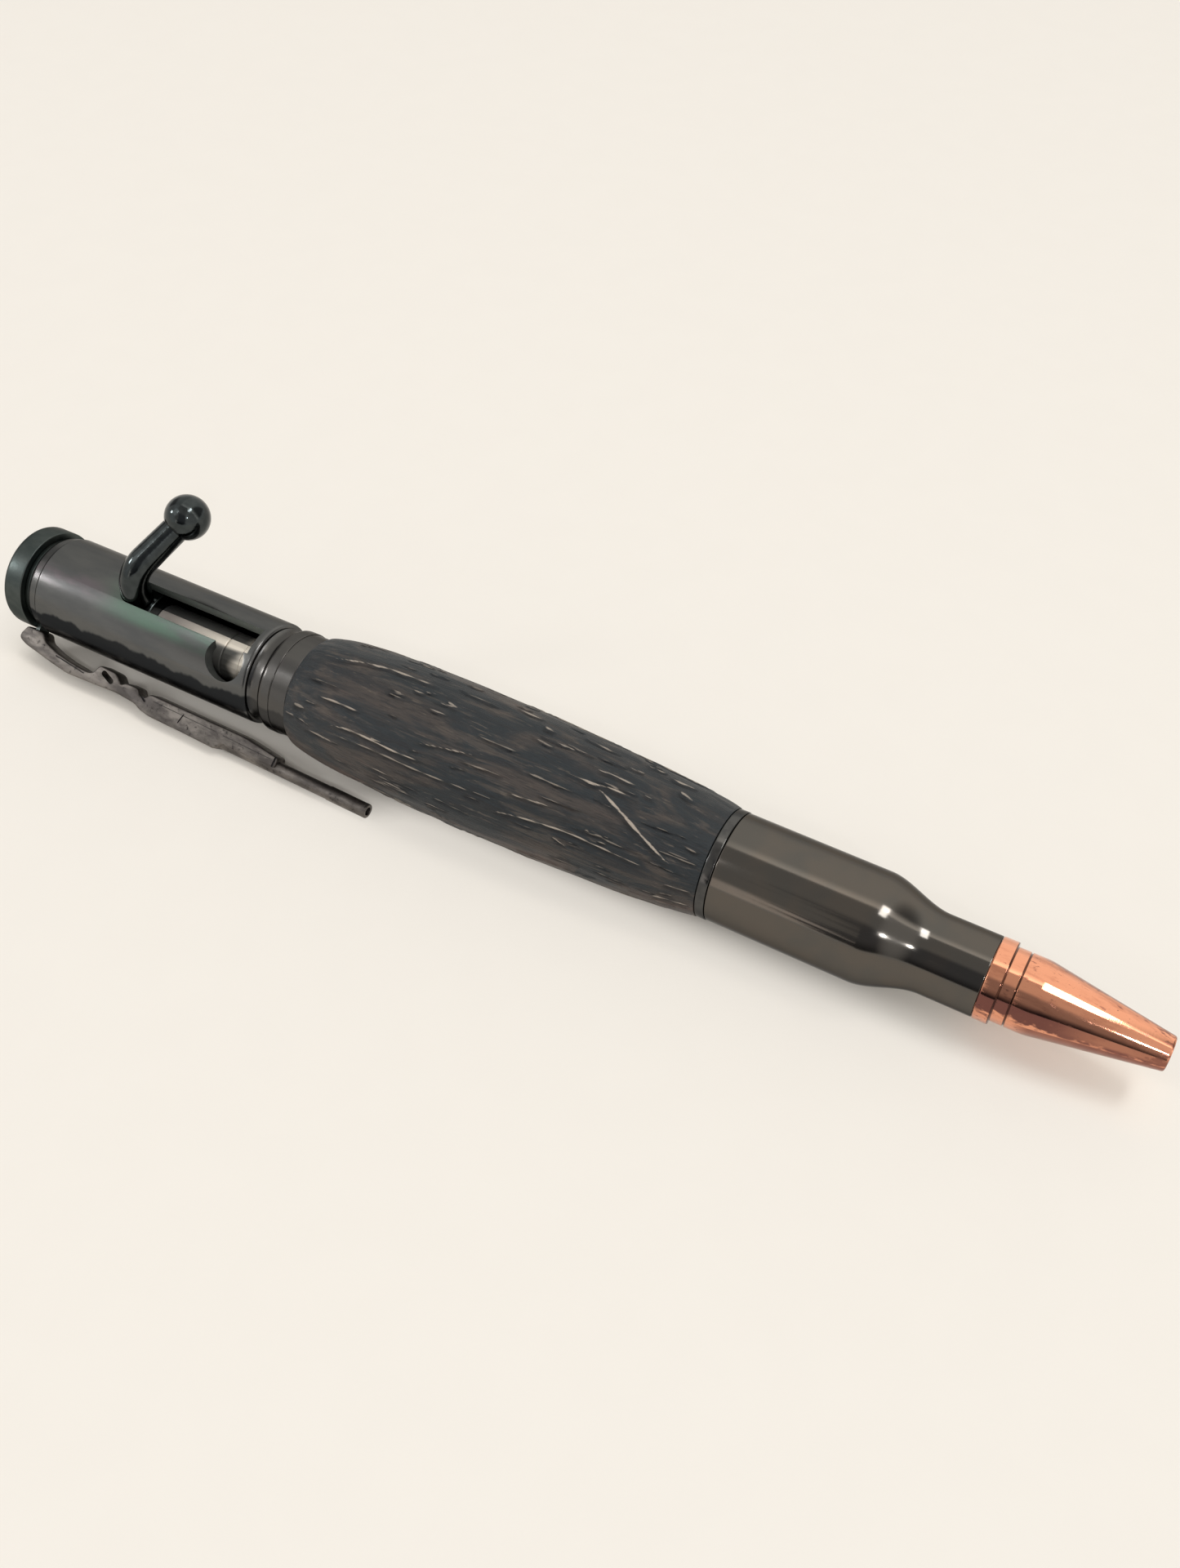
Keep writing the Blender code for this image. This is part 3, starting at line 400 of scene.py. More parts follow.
case_front, shoulder_front, shoulder_length, case_rear = -18.11, -23.61, 7.0, -46.33
neck_radius, case_radius, neck_bore, case_bore = 4.32, 6.04, 3.70, 5.05
shoulder_steps = 60
case_outer = [(case_front, neck_radius, 0.10)]
for k in range(shoulder_steps + 1):
    share = k / shoulder_steps
    rise = share * share * (3 - 2 * share)
    case_outer.append((
        shoulder_front - share * shoulder_length, neck_radius + rise * (case_radius - neck_radius), 0.0
    ))
case_outline = rounded(case_outer + [
    (case_rear, case_radius, 0.12), (case_rear, case_bore, 0.0),
    (shoulder_front - shoulder_length, case_bore, 0.0), (-24.03, neck_bore, 0.0),
    (case_front, neck_bore, 0.0),
])
case = turned("case_shell", case_outline)
done(case, gunmetal, "gunmetal", "nose", "cartridge_case")

# Front coupler: a thin ring between case and wood. Ahead of it a threaded spigot takes the case's bush,
# and behind it a plain one is glued into the lining tube. The thread shows when the nose is unscrewed.
ring_plate, sheen = finish("ring_plate", Metallic=1.0, Specular_Tint=(0.5, 0.5, 0.5, 1.0))
haze = sheen.cloud(700.0, 4.0, 0.6)
tone = haze.clamp(0.35, 0.65).colours((0.068, 0.068, 0.068), (0.092, 0.091, 0.089))
upward = sheen.where("Z")[0] - axis_z
# painted shade: the ring's underside is darkened, standing in for the shadow under the pen
tone = ((1.0 - upward.clamp(-0.0032, -0.0016)) * 0.6).colours(tone, (0.022, 0.022, 0.023))
feed(ring_plate, Base_Color=tone, Roughness=0.10 + haze * 0.08, Normal=haze.raised(0.06, 0.00005))

thread_radius, thread_pitch, thread_depth = 4.27, 0.75, 0.32
spigot_front, thread_front, thread_rear = -39.19, -39.0, -46.2
row_step, thread_rows = 0.06, 116
ring_front, ring_rear, ring_radius, spigot_rear = -46.39, -47.45, 6.10, -55.95
passage, tube_bore = 3.20, 4.32
thread = [(spigot_front - row_step * k, thread_radius) for k in range(thread_rows)]
ring_outline = [(spigot_front, passage)] + thread + rounded([
    (ring_front, 4.15, 0.0), (ring_front, ring_radius, 0.15), (ring_rear, ring_radius, 0.15),
    (ring_rear, tube_bore, 0.0), (spigot_rear, tube_bore, 0.15), (spigot_rear, passage, 0.0),
])
coupler = turned("front_ring", ring_outline, 120)
for vertex in coupler.data.vertices:
    station = (vertex.co.x - point) / mm
    off_y, off_z = vertex.co.y - axis_y, vertex.co.z - axis_z
    radius = math.hypot(off_y, off_z) / mm
    if abs(radius - thread_radius) < 0.03 and station > thread_rear:
        turns = station / thread_pitch - math.atan2(off_y, off_z) / (2 * math.pi)
        flank = abs(2 * (turns % 1) - 1)
        run_out = min(1.0, (thread_front - station) / 0.6, (station - thread_rear) / 0.5)
        scale = 1 - thread_depth * flank * max(run_out, 0.0) / radius
        vertex.co.y = axis_y + off_y * scale
        vertex.co.z = axis_z + off_z * scale
done(coupler, ring_plate, "gunmetal", "barrel", "front_coupler")

# Wooden barrel: turned to a belly, then carved lengthwise with a knife, stained nearly black and oiled.
# Fine ridges between the cuts are worn back to pale wood and also carry a painted highlight, and the cuts
# beside them carry painted shade. It is glued over a brass lining tube.
wood_front, wood_rear, belly = -47.51, -99.21, -78.61
front_radius, rear_radius, belly_radius, wood_bore = 6.12, 6.30, 7.92, 4.84
strokes = [
    # (width, paleness, points of (station, roll))
    (0.34, 0.9, [(-95.9, 2.5), (-92.5, -4), (-89.2, -8), (-85.9, -8.8), (-82.2, -9)]),
    (0.26, 0.6, [(-84.7, 3.2), (-83.0, 3.4)]),
    (0.45, 0.6, [(-80.5, 1), (-79.6, 2.8), (-78.8, 4.5)]),
    (0.25, 0.6, [(-82.4, 14.4), (-79.4, 13.5)]),
    (0.22, 0.35, [(-97.4, 27), (-92.5, 26.5)]),
    (0.36, 0.85, [(-94.7, 39.6), (-92.5, 38.4), (-88.9, 38.5)]),
    (0.26, 0.8, [(-81.7, 43.5), (-78.4, 39), (-74.2, 34)]),
    (0.30, 0.4, [(-96.2, 48), (-94.9, 47)]),
    (0.55, 0.4, [(-97.6, 55), (-96.0, 55)]),
    (0.40, 0.45, [(-98.7, 67), (-97.2, 66)]),
    (0.38, 1.0, [(-92.5, 59), (-89.9, 55.5), (-86.5, 55.6), (-83.2, 57), (-79.4, 55)]),
    (0.34, 0.6, [(-91.4, 65), (-86.2, 63), (-80.9, 64), (-76.5, 63), (-72.5, 61.6)]),
    (0.36, 0.5, [(-95.4, 72.3), (-92, 72)]),
    (0.32, 0.85, [(-86.7, 80), (-83.2, 80)]),
    (0.26, 0.35, [(-86, 92), (-80, 91.5)]),
    (0.26, 0.7, [(-79.2, 92), (-76.2, 92.5)]),
    (0.28, 0.8, [(-73.6, -23.2), (-70.3, -23.2)]),
    (0.28, 0.7, [(-65.3, -24), (-60.7, -23.6)]),
    (0.28, 0.6, [(-57.8, -26), (-55.5, -28.4)]),
    (0.32, 0.75, [(-54.9, -23.5), (-51.8, -26)]),
    (0.40, 0.7, [(-69.7, -15.6), (-68.2, -13.5)]),
    (0.26, 0.75, [(-69.3, -4), (-67.2, -3.5), (-64.5, -6.5)]),
    (0.40, 0.6, [(-53.2, -13), (-51.3, -8)]),
    (0.30, 0.85, [(-61.8, 4.5), (-59.8, 3), (-57.2, 3.5)]),
    (0.36, 1.0, [(-64.7, 18), (-61, 17.5), (-59.7, 14.6), (-56.1, 15.5)]),
    (0.52, 1.0, [(-60.9, 18.4), (-57.7, 29), (-54.3, 42), (-52, 51), (-50.7, 56)]),
    (0.24, 0.6, [(-68.3, 30.8), (-62.7, 30.8)]),
    (0.30, 0.9, [(-69.7, 51.5), (-67.3, 50), (-64.7, 48.5)]),
    (0.20, 0.5, [(-60.5, 57), (-59.7, 53)]),
    (0.20, 0.5, [(-59.5, 56), (-57, 53)]),
    (0.22, 0.35, [(-73.5, 61.5), (-71.2, 61.5)]),
    (0.36, 0.95, [(-71.8, 72.5), (-68.5, 67.5), (-65.2, 65), (-62.2, 63), (-58.5, 64.5), (-53.5, 67)]),
    (0.26, 0.6, [(-63.7, 71.5), (-61.8, 77.5)]),
    (0.34, 0.8, [(-51, 76.8), (-47.9, 76.5)]),
    (0.36, 0.9, [(-52, 97), (-50.2, 94.5), (-47.9, 95)]),
    (0.26, 0.5, [(-49.8, 36), (-48.3, 37)]),
    (0.26, 0.35, [(-51.8, 104), (-49.3, 103)]),
    (0.24, 0.35, [(-57.2, 97), (-55.2, 97)]),
]
carver = random.Random(7)
for _ in range(46):
    station = carver.uniform(wood_rear + 1.0, wood_front - 5.0)
    roll = carver.uniform(112, 318)
    length = carver.uniform(2.0, 11.0)
    points = [(station, roll)]
    while points[-1][0] < min(station + length, wood_front - 0.8):
        roll += carver.uniform(-4.0, 4.0)
        points.append((points[-1][0] + 2.4, roll))
    strokes.append((carver.uniform(0.22, 0.4), carver.uniform(0.4, 1.0), points))


def wood_radius(x):
    """Turned radius in mm at a station: the long curve ahead of the belly and the fuller one behind it."""
    if x > belly:
        share = (wood_front - x) / (wood_front - belly)
        return front_radius + (1 - (1 - share) ** 1.6) ** (1 / 1.6) * (belly_radius - front_radius)
    share = (x - wood_rear) / (belly - wood_rear)
    return rear_radius + (1 - (1 - share) ** 2.5) ** 0.5 * (belly_radius - rear_radius)


turning = []
rows, facets = 250, 340
for k in range(rows + 1):
    share = k / rows
    ease = share + 0.035 * math.sin(2 * math.pi * share) / math.pi
    x = wood_front + ease * (wood_rear - wood_front)
    turning.append((x, wood_radius(min(max(x, wood_rear), wood_front))))
wood_piece = turned("carved_barrel", turning + [(wood_rear, wood_bore), (wood_front, wood_bore)], facets)

places = np.empty(len(wood_piece.data.vertices) * 3)
wood_piece.data.vertices.foreach_get("co", places)
places = places.reshape(-1, 3)
station = (places[:, 0] - point) / mm
off = (places[:, 1:] - (axis_y, axis_z)) / mm
radius = np.hypot(off[:, 0], off[:, 1])
roll = np.degrees(np.arctan2(-off[:, 0], off[:, 1]))
skin = radius > 5.5
cut = np.zeros(len(places))
pale = np.zeros(len(places))


def eased(value):
    """Smooth step from 0 to 1."""
    value = np.clip(value, 0, 1)
    return value * value * (3 - 2 * value)


ridge = np.full(len(places), -1.0)
for _ in range(170):
    start, roll_at = carver.uniform(wood_rear + 0.5, wood_front - 2.5), carver.uniform(0, 360)
    length, drift = carver.uniform(1.2, 6.0), carver.uniform(-3.0, 3.0)
    end = min(start + length, wood_front - 0.4)
    width, paleness = carver.uniform(0.14, 0.26), carver.uniform(0.1, 0.45)
    strokes.append((width, paleness, [(start, roll_at), (end, roll_at + drift)]))
ridge_share, mean_radius = 0.66, 7.4
for width, paleness, path in strokes:
    width *= ridge_share
    xs, rolls = np.array(sorted(path)).T
    line = sum(np.interp(station + shift, xs, rolls) for shift in (-0.7, 0.0, 0.7)) / 3
    lean = math.cos(math.atan((rolls[-1] - rolls[0]) * degree * mean_radius / (xs[-1] - xs[0])))
    side = ((roll - line + 180) % 360 - 180) * degree * radius * lean
    share = (station - xs[0]) / (xs[-1] - xs[0])
    body = np.sqrt(np.clip(4 * share * (1 - share), 0, 1)) * (0.8 + 0.2 * np.sin(station * 2.1 + rolls[0]))
    beyond = np.maximum(np.maximum(-share, share - 1), 0) * (xs[-1] - xs[0])
    height = 0.74 + 0.30 * body - 0.8 * beyond - np.abs(side) / (2.2 * width)
    pale = np.where(height > ridge, paleness, pale)
    ridge = np.maximum(ridge, height)
    trough = np.exp(-(((side - 1.5 * width) / (1.1 * width)) ** 2)) * body * (beyond == 0)
    cut = np.maximum(cut, trough)
ridge = np.clip(ridge, 0, 1)
lifted = eased((ridge - 0.45) / 0.5)

flutes = np.zeros(len(places))
for count, reach, drift in ((9, 0.5, 0.9), (17, 0.32, 1.7), (31, 0.18, 2.6)):
    phase = carver.uniform(0, 6.28)
    wander = 0.5 * np.sin(station * 0.11 * drift + phase) + 0.3 * np.sin(station * 0.27 * drift + 2 * phase)
    flutes += reach * np.sin(count * roll * degree + 3.2 * wander + phase)
shaved, flute_depth, cut_depth, ridge_height, deepest = 0.10, 0.085, 0.19, 0.10, 0.45
inset = shaved + flute_depth * flutes + cut_depth * cut - ridge_height * lifted
rim = eased((wood_front - station) / 0.5) * eased((station - wood_rear) / 0.5)
inset = np.clip(inset, 0.0, deepest) * rim
scale = np.where(skin, 1 - inset / np.maximum(radius, 1), 1)
places[:, 1:] = np.array((axis_y, axis_z)) + off * scale[:, None] * mm
wood_piece.data.vertices.foreach_set("co", places.ravel())
for name, values in (("ridge", ridge), ("pale", pale), ("cut", cut)):
    wood_piece.data.attributes.new(name, "FLOAT", "POINT").data.foreach_set("value", values)

stained, grain = finish("stained_wood", Specular_IOR_Level=0.35)
ridge_mark = grain.node("Attribute", {"attribute_name": "ridge"}, {}, "Fac")
pale_mark = grain.node("Attribute", {"attribute_name": "pale"}, {}, "Fac")
cut_mark = grain.node("Attribute", {"attribute_name": "cut"}, {}, "Fac")
streaks = grain.cloud((90.0, 900.0, 900.0), 5.0, 0.65, 0.6)
fibre = grain.cloud((420.0, 5200.0, 5200.0), 4.0, 0.65)
nicks = grain.cloud((330.0, 2600.0, 2600.0), 3.0, 0.7)
upward = grain.where("Z")[0] - axis_z
patch = grain.cloud((75.0, 260.0, 260.0), 4.0, 0.6, 0.8) - upward * 8.0 + 0.01
blue_black, umber, rust = (0.013, 0.018, 0.022), (0.046, 0.038, 0.034), (0.074, 0.052, 0.044)
stain_tone = patch.clamp(0.42, 0.57).colours(blue_black, umber)
stain_tone = patch.clamp(0.58, 0.72).colours(stain_tone, rust)
stain_tone = (streaks.clamp(0.50, 0.64) * 0.8).colours(stain_tone, (0.014, 0.016, 0.019))
stain_tone = ((1.0 - streaks.clamp(0.34, 0.46)) * 0.5).colours(stain_tone, (0.085, 0.068, 0.056))
stain_tone = ((1.0 - fibre.clamp(0.36, 0.50)) * 0.6).colours(stain_tone, (0.010, 0.010, 0.011))
stain_tone = (nicks.clamp(0.60, 0.72) * 0.5).colours(stain_tone, (0.13, 0.105, 0.085))
# painted shade: the knife cuts beside the ridges are darkened as their shadow
stain_tone = (cut_mark * 0.8).colours(stain_tone, (0.005, 0.005, 0.006))
# painted highlight: the ridges are pale partly as wood worn back and partly as light caught on them
worn_and_highlit_ridges = (ridge_mark + fibre * 0.34 - 0.17).clamp(0.74, 0.88) * (0.25 + pale_mark * 0.75)
stain_tone = worn_and_highlit_ridges.colours(stain_tone, (0.37, 0.32, 0.27))
feed(stained, Base_Color=stain_tone, Roughness=0.40 + fibre * 0.22)
feed(stained, Normal=(fibre * 0.5 + nicks * 0.5 + streaks * 1.2).raised(0.75, 0.00022))
done(wood_piece, stained, "wood", "barrel", "wood_barrel", angle=60)

# Rear coupler: the stepped collar between wood and housing, with a narrow neck behind its bands.
# One end is glued into the lining tube and the other takes the housing's nose.
satin, sheen = finish("gunmetal_satin", Metallic=1.0, Specular_Tint=(0.5, 0.5, 0.5, 1.0))
haze = sheen.cloud((120.0, 420.0, 420.0), 4.0, 0.6)
rub = sheen.cloud((700.0, 4200.0, 4200.0), 3.0, 0.6)
tone = haze.clamp(0.35, 0.65).colours((0.104, 0.106, 0.106), (0.126, 0.126, 0.123))
along, across, upward, slope = on_pen(sheen)
green = along.clamp(-0.129, -0.122) * (haze - 0.1).clamp(0.1, 0.5)
green = green * slope.clamp(0.75, 1.1) * (1.0 - along.clamp(-0.112, -0.106))
tone = (green * 0.65).colours(tone, (0.080, 0.150, 0.108))
pink = slope.clamp(0.9, 1.8) * (1.0 - along.clamp(-0.131, -0.124)) * haze.clamp(0.36, 0.56)
tone = (pink * 0.5 * (across * -1.0).clamp(0.00152, 0.00272)).colours(tone, (0.165, 0.126, 0.146))
on_collar = along.clamp(-0.1050, -0.1040)
tone = (on_collar * 0.5).colours(tone, (0.078, 0.070, 0.064))
# painted shade: a dark ragged band along the viewer's side stands in for the clip and its shadow seen in the
# gunmetal
ragged = sheen.cloud((260.0, 120.0, 120.0), 3.0, 0.6) - 0.5
painted_shade_band = (slope + ragged * 0.55).clamp(-0.30, -0.16) * (1.0 - (slope + ragged * 0.5).clamp(0.18, 0.26))
painted_shade_band = painted_shade_band * (1.0 - on_collar * 0.45) * (1.0 - across.clamp(-0.00112, -0.00012))
tone = (painted_shade_band * 0.86).colours(tone, (0.010, 0.012, 0.015))
feed(satin, Base_Color=tone, Roughness=0.15 + haze * 0.12 + rub * 0.06)
feed(satin, Normal=(rub * 0.6 + haze * 0.4).raised(0.08, 0.00006))

spigot_front, collar_front, step_rear, band_rear, collar_rear = -90.97, -99.27, -101.52, -102.95, -104.81
step_radius, collar_radius, socket_floor, socket_bore = 6.10, 6.22, -100.31, 4.70
collar_outline = rounded([
    (spigot_front, passage, 0.0), (spigot_front, tube_bore, 0.15), (collar_front, tube_bore, 0.0),
    (collar_front, step_radius, 0.15), (step_rear, step_radius, 0.03), (step_rear, collar_radius, 0.12),
    (band_rear, collar_radius, 0.45), (-103.25, 5.66, 0.25), (-103.95, 5.58, 0.3), (-104.50, 5.62, 0.2),
    (collar_rear, 5.78, 0.05), (collar_rear, socket_bore, 0.0), (socket_floor, socket_bore, 0.0),
    (socket_floor, passage, 0.0),
])
collar = turned("rear_collar", collar_outline)
done(collar, satin, "gunmetal", "barrel", "rear_coupler")

# Housing: a bored tube for the bolt, milled with the long slot and the round notch that locks the bolt
# forwards. The edges of both cuts are broken, and the whole is plated in satin gunmetal.
nose_front, nose_radius, housing_front, chamber_front, housing_rear = -100.57, 4.62, -104.87, -105.85, -137.90
housing_radius, chamber_radius = 6.19, 4.75
housing_outline = rounded([
    (nose_front, passage, 0.0), (nose_front, nose_radius, 0.15), (housing_front, nose_radius, 0.0),
    (housing_front, housing_radius, 0.50), (-136.30, housing_radius, 0.1), (-136.50, 6.04, 0.05),
    (-137.60, 5.90, 0.3), (housing_rear, 5.60, 0.05), (housing_rear, chamber_radius, 0.0),
    (chamber_front, chamber_radius, 0.0), (chamber_front, passage, 0.0),
])
housing = turned("bolt_housing_shell", housing_outline)
housing.data.materials.append(satin)
milled, sheen = finish("milled_wall", Metallic=0.2)
haze = sheen.cloud(1300.0, 4.0)
# painted light and shade: the milled walls are dark as shade, and the slot's far wall is painted lighter
# where light falls on it
tone = haze.clamp(0.3, 0.7).colours((0.026, 0.030, 0.030), (0.040, 0.044, 0.042))
across = sheen.where("Y")[0] - axis_y
tone = across.clamp(-0.0016, -0.0004).colours(tone, (0.105, 0.122, 0.110))
feed(milled, Base_Color=tone, Roughness=0.42 + haze * 0.15, Normal=haze.raised(0.08, 0.00005))


def apply_all(piece):
    """Applies every modifier of a piece in turn."""
    select_only(piece)
    for modifier in list(piece.modifiers):
        bpy.ops.object.modifier_apply(modifier=modifier.name)


def joined_or_cut(piece, tool, operation):
    """Cuts a tool out of a piece, or welds it on, and takes the tool away."""
    boolean = piece.modifiers.new("tool", "BOOLEAN")
    boolean.operation = operation
    boolean.solver = "EXACT"
    boolean.material_mode = "TRANSFER"
    boolean.object = tool
    apply_all(piece)
    bpy.data.objects.remove(tool)


def broken_edges(piece, width, angle):
    """Bevels the edges that are sharper than an angle in degrees, by a width in mm."""
    edges = piece.modifiers.new("broken_edges", "BEVEL")
    edges.width = width * mm
    edges.segments = 3
    edges.limit_method = "ANGLE"
    edges.angle_limit = angle * degree
    apply_all(piece)


def about_axis(roll):
    """Turn about the pen's axis from straight up."""
    axis = Vector((0.0, axis_y, axis_z))
    return Matrix.Translation(axis) @ Matrix.Rotation(roll * degree, 4, "X") @ Matrix.Translation(-axis)


def milling_tool(x, length, width, roll):
    """A round-ended milling cutter's path, from inside the bore to outside the housing."""
    bpy.ops.object.select_all(action="DESELECT")
    middle = (point + x * mm, axis_y, axis_z + 5.2 * mm)
    bpy.ops.mesh.primitive_cylinder_add(vertices=64, radius=width / 2 * mm, depth=4.0 * mm, location=middle)
    tool = bpy.context.object
    tool.data.materials.append(milled)
    if length:
        bpy.ops.object.mode_set(mode="EDIT")
        bpy.ops.mesh.select_all(action="SELECT")
        bpy.ops.mesh.bisect(plane_co=middle, plane_no=(1.0, 0.0, 0.0), clear_outer=True, use_fill=True)
        bpy.ops.mesh.extrude_region_move(TRANSFORM_OT_translate={"value": (length * mm, 0.0, 0.0)})
        welded()
    tool.matrix_world = about_axis(roll) @ tool.matrix_world
    return tool


slot_roll, slot_length, slot_width = 11.8, 17.6, 3.60
notch_roll, notch_x, notch_width = 44.0, -108.4, 5.10
handle_x = -123.5
joined_or_cut(housing, milling_tool(handle_x, slot_length, slot_width, slot_roll), "DIFFERENCE")
joined_or_cut(housing, milling_tool(notch_x, 0.0, notch_width, notch_roll), "DIFFERENCE")
broken_edges(housing, 0.10, 50)
done(housing, satin, "gunmetal", "barrel", "bolt_housing")

# Bolt: a black slider in the bore, a bright rod ahead of it that pushes the refill, and the handle.
# The handle's stem is bent rod, screwed into the slider, and its ball is pushed on and polished.
black, sheen = finish("black_plate", Metallic=1.0)
haze = sheen.cloud(900.0, 4.0)
ripple = sheen.cloud(1700.0, 2.0)
tone = haze.clamp(0.3, 0.7).colours((0.040, 0.046, 0.047), (0.058, 0.066, 0.067))
feed(black, Base_Color=tone, Roughness=0.07 + haze * 0.10, Normal=ripple.raised(0.16, 0.00008))

bright, sheen = finish("bright_rod", Metallic=0.35)
lines = sheen.cloud((9000.0, 50.0, 50.0), 2.0)
smear = sheen.cloud((120.0, 260.0, 260.0), 2.0)
along, *_, slope = on_pen(sheen)
along = along + smear * 0.006 - 0.003
tone = along.clamp(-0.120, -0.108).colours((0.44, 0.40, 0.37), (0.90, 0.83, 0.72))
# painted shade: the rod is darkened below the slot at the back of the notch, standing in for the unlit bore
painted_notch_shade = (1.0 - (slope + smear * 1.6 - 0.8).clamp(1.8, 2.9)) * (1.0 - along.clamp(-0.1094, -0.1080))
tone = (painted_notch_shade * 0.93).colours(tone, (0.045, 0.050, 0.050))
feed(bright, Base_Color=tone, Roughness=0.30 + smear * 0.12, Normal=lines.raised(0.04, 0.00003))

slider_front, slider_rear, slider_radius = -121.25, -133.03, 4.66
rod_front, rod_rear, rod_radius, tail_rear, tail_radius = -111.05, -121.19, 2.95, -122.10, 1.5
tail_bore, tail_floor = 1.58, -122.18
carrier_outline = rounded([
    (tail_floor, 0.0, 0.0), (tail_floor, tail_bore, 0.0), (slider_front, tail_bore, 0.0),
    (slider_front, slider_radius, 0.28), (slider_rear, slider_radius, 0.28), (slider_rear, 0.0, 0.0),
])
carrier = turned("bolt_slider", carrier_outline, 96)
done(carrier, black, "black_metal", "bolt", "bolt_carrier")
rod_outline = rounded([
    (rod_front, 0.0, 0.0), (rod_front, rod_radius, 0.22), (rod_rear, rod_radius, 0.0),
    (rod_rear, tail_radius, 0.0), (tail_rear, tail_radius, 0.0), (tail_rear, 0.0, 0.0),
])
rod = turned("bolt_rod", rod_outline, 96)
done(rod, bright, "bright_metal", "bolt", "push_rod")

stem_bend, stem_sweep = 72.0, 23.8
to_handle = Matrix.Translation((point + handle_x * mm, axis_y, axis_z))
to_handle = to_handle @ Matrix.Rotation(slot_roll * degree, 4, "X")
to_stem = to_handle @ Matrix.Rotation((90 - stem_sweep) * degree, 4, "Z")


def settled(piece, matrix):
    """Moves a piece by a matrix and applies it, so that its place lies in its mesh."""
    select_only(piece)
    piece.matrix_world = matrix @ piece.matrix_world
    bpy.ops.object.transform_apply()


def pulled(step):
    """Extrudes what is selected by a step in mm."""
    bpy.ops.mesh.extrude_region_move(TRANSFORM_OT_translate={"value": Vector(step) * mm})


stud_radius, shoulder_radius, stem_radius, stem_end_radius = 1.20, 1.55, 1.70, 1.62
stud_floor, stud_height, bend_radius, bend_height, stem_reach, knob_radius = 1.9, 2.82, 3.97, 5.83, 6.93, 2.67
bpy.ops.object.select_all(action="DESELECT")
bpy.ops.mesh.primitive_circle_add(
    vertices=48, radius=stud_radius * mm, fill_type="NGON", location=(0.0, 0.0, stud_floor * mm)
)
stem = bpy.context.object
stem.name = stem.data.name = "handle_stem"
bpy.ops.object.mode_set(mode="EDIT")
pulled((0.0, 0.0, stud_height))
pulled((0.0, 0.0, 0.0))
bpy.ops.transform.resize(value=(shoulder_radius / stud_radius, shoulder_radius / stud_radius, 1.0))
pulled((0.0, 0.0, 0.15))
bpy.ops.transform.resize(value=(stem_radius / shoulder_radius, stem_radius / shoulder_radius, 1.0))
for _ in range(4):
    pulled((0.0, 0.0, 0.24))
bend_centre = (bend_radius * mm, 0.0, bend_height * mm)
bpy.ops.mesh.spin(steps=28, angle=stem_bend * degree, center=bend_centre, axis=(0.0, -1.0, 0.0))
aim = Vector((math.sin(stem_bend * degree), 0.0, math.cos(stem_bend * degree)))
flat = math.sqrt(knob_radius**2 - stem_end_radius**2)
for _ in range(6):
    pulled(aim * (stem_reach - flat) / 6)
    bpy.ops.transform.resize(value=(0.992, 0.992, 0.992))
welded()
settled(stem, to_stem)
done(stem, black, "black_metal", "bolt", "bolt_handle")

knob_outline = [(-flat, 0.0), (-flat, 1.55)]
start = math.atan2(stem_end_radius, flat)
for k in range(49):
    angle = start + (math.pi - start) * k / 48
    knob_outline.append((-knob_radius * math.cos(angle), knob_radius * max(math.sin(angle), 0.0)))
knob_outline[-1] = (knob_radius, 0.0)
knob = turned("handle_ball", knob_outline, 96, closed=False)
bend_end = Vector((bend_radius * (1 - math.cos(stem_bend * degree)), 0.0, 0.0))
bend_end.z = bend_height + bend_radius * math.sin(stem_bend * degree)
knob_centre = (bend_end + aim * stem_reach) * mm
to_knob = Matrix.Translation(knob_centre) @ Matrix.Rotation((stem_bend - 90) * degree, 4, "Y")
to_origin = Matrix.Translation((-point, -axis_y, -axis_z))
settled(knob, to_stem @ to_knob @ to_origin)
done(knob, black, "black_metal", "bolt", "handle_knob")

# End cap: shaped as a cartridge's rim, with its spigot pushed through the clip ring into the bore.
# A small brass disc is pressed into its rear face.
dark_satin, sheen = finish("dark_satin", Metallic=1.0, Specular_Tint=(0.5, 0.5, 0.5, 1.0))
haze = sheen.cloud((300.0, 500.0, 500.0), 4.0, 0.6)
rub = sheen.cloud(3800.0, 3.0, 0.6)
tone = haze.clamp(0.35, 0.65).colours((0.060, 0.072, 0.070), (0.082, 0.094, 0.090))
feed(dark_satin, Base_Color=tone, Roughness=0.24 + haze * 0.14 + rub * 0.08)
feed(dark_satin, Normal=rub.raised(0.10, 0.00006))

spigot_front, spigot_radius, cap_front, cap_rear, cap_radius = -134.58, 4.67, -138.58, -141.40, 6.30
recess_floor, recess_radius = -140.50, 2.74
cap_outline = rounded([
    (spigot_front, 0.0, 0.0), (spigot_front, spigot_radius, 0.2), (cap_front, spigot_radius, 0.0),
    (cap_front, cap_radius, 0.15), (cap_rear, cap_radius, 0.65), (cap_rear, 4.3, 0.0), (-141.32, 4.1, 0.0),
    (cap_rear, 3.9, 0.0), (cap_rear, recess_radius, 0.08), (recess_floor, recess_radius, 0.0),
    (recess_floor, 0.0, 0.0),
])
cap = turned("rim_cap", cap_outline)
done(cap, dark_satin, "gunmetal", "barrel", "end_cap")

brass, sheen = finish("brass_disc", Metallic=1.0)
haze = sheen.cloud(900.0, 4.0)
tone = haze.clamp(0.35, 0.7).colours((0.78, 0.58, 0.27), (0.52, 0.36, 0.16))
feed(brass, Base_Color=tone, Roughness=0.22 + haze * 0.2, Normal=haze.raised(0.08, 0.00006))
disc_front, disc_radius, dimple_floor = -140.56, 2.66, -141.34
disc_outline = rounded([
    (disc_front, 0.0, 0.0), (disc_front, disc_radius, 0.0), (cap_rear, disc_radius, 0.30),
    (cap_rear, 1.2, 0.1), (dimple_floor, 0.9, 0.1), (dimple_floor, 0.0, 0.0),
])
disc = turned("rear_disc", disc_outline, 96)
done(disc, brass, "brass", "barrel", "primer_disc")

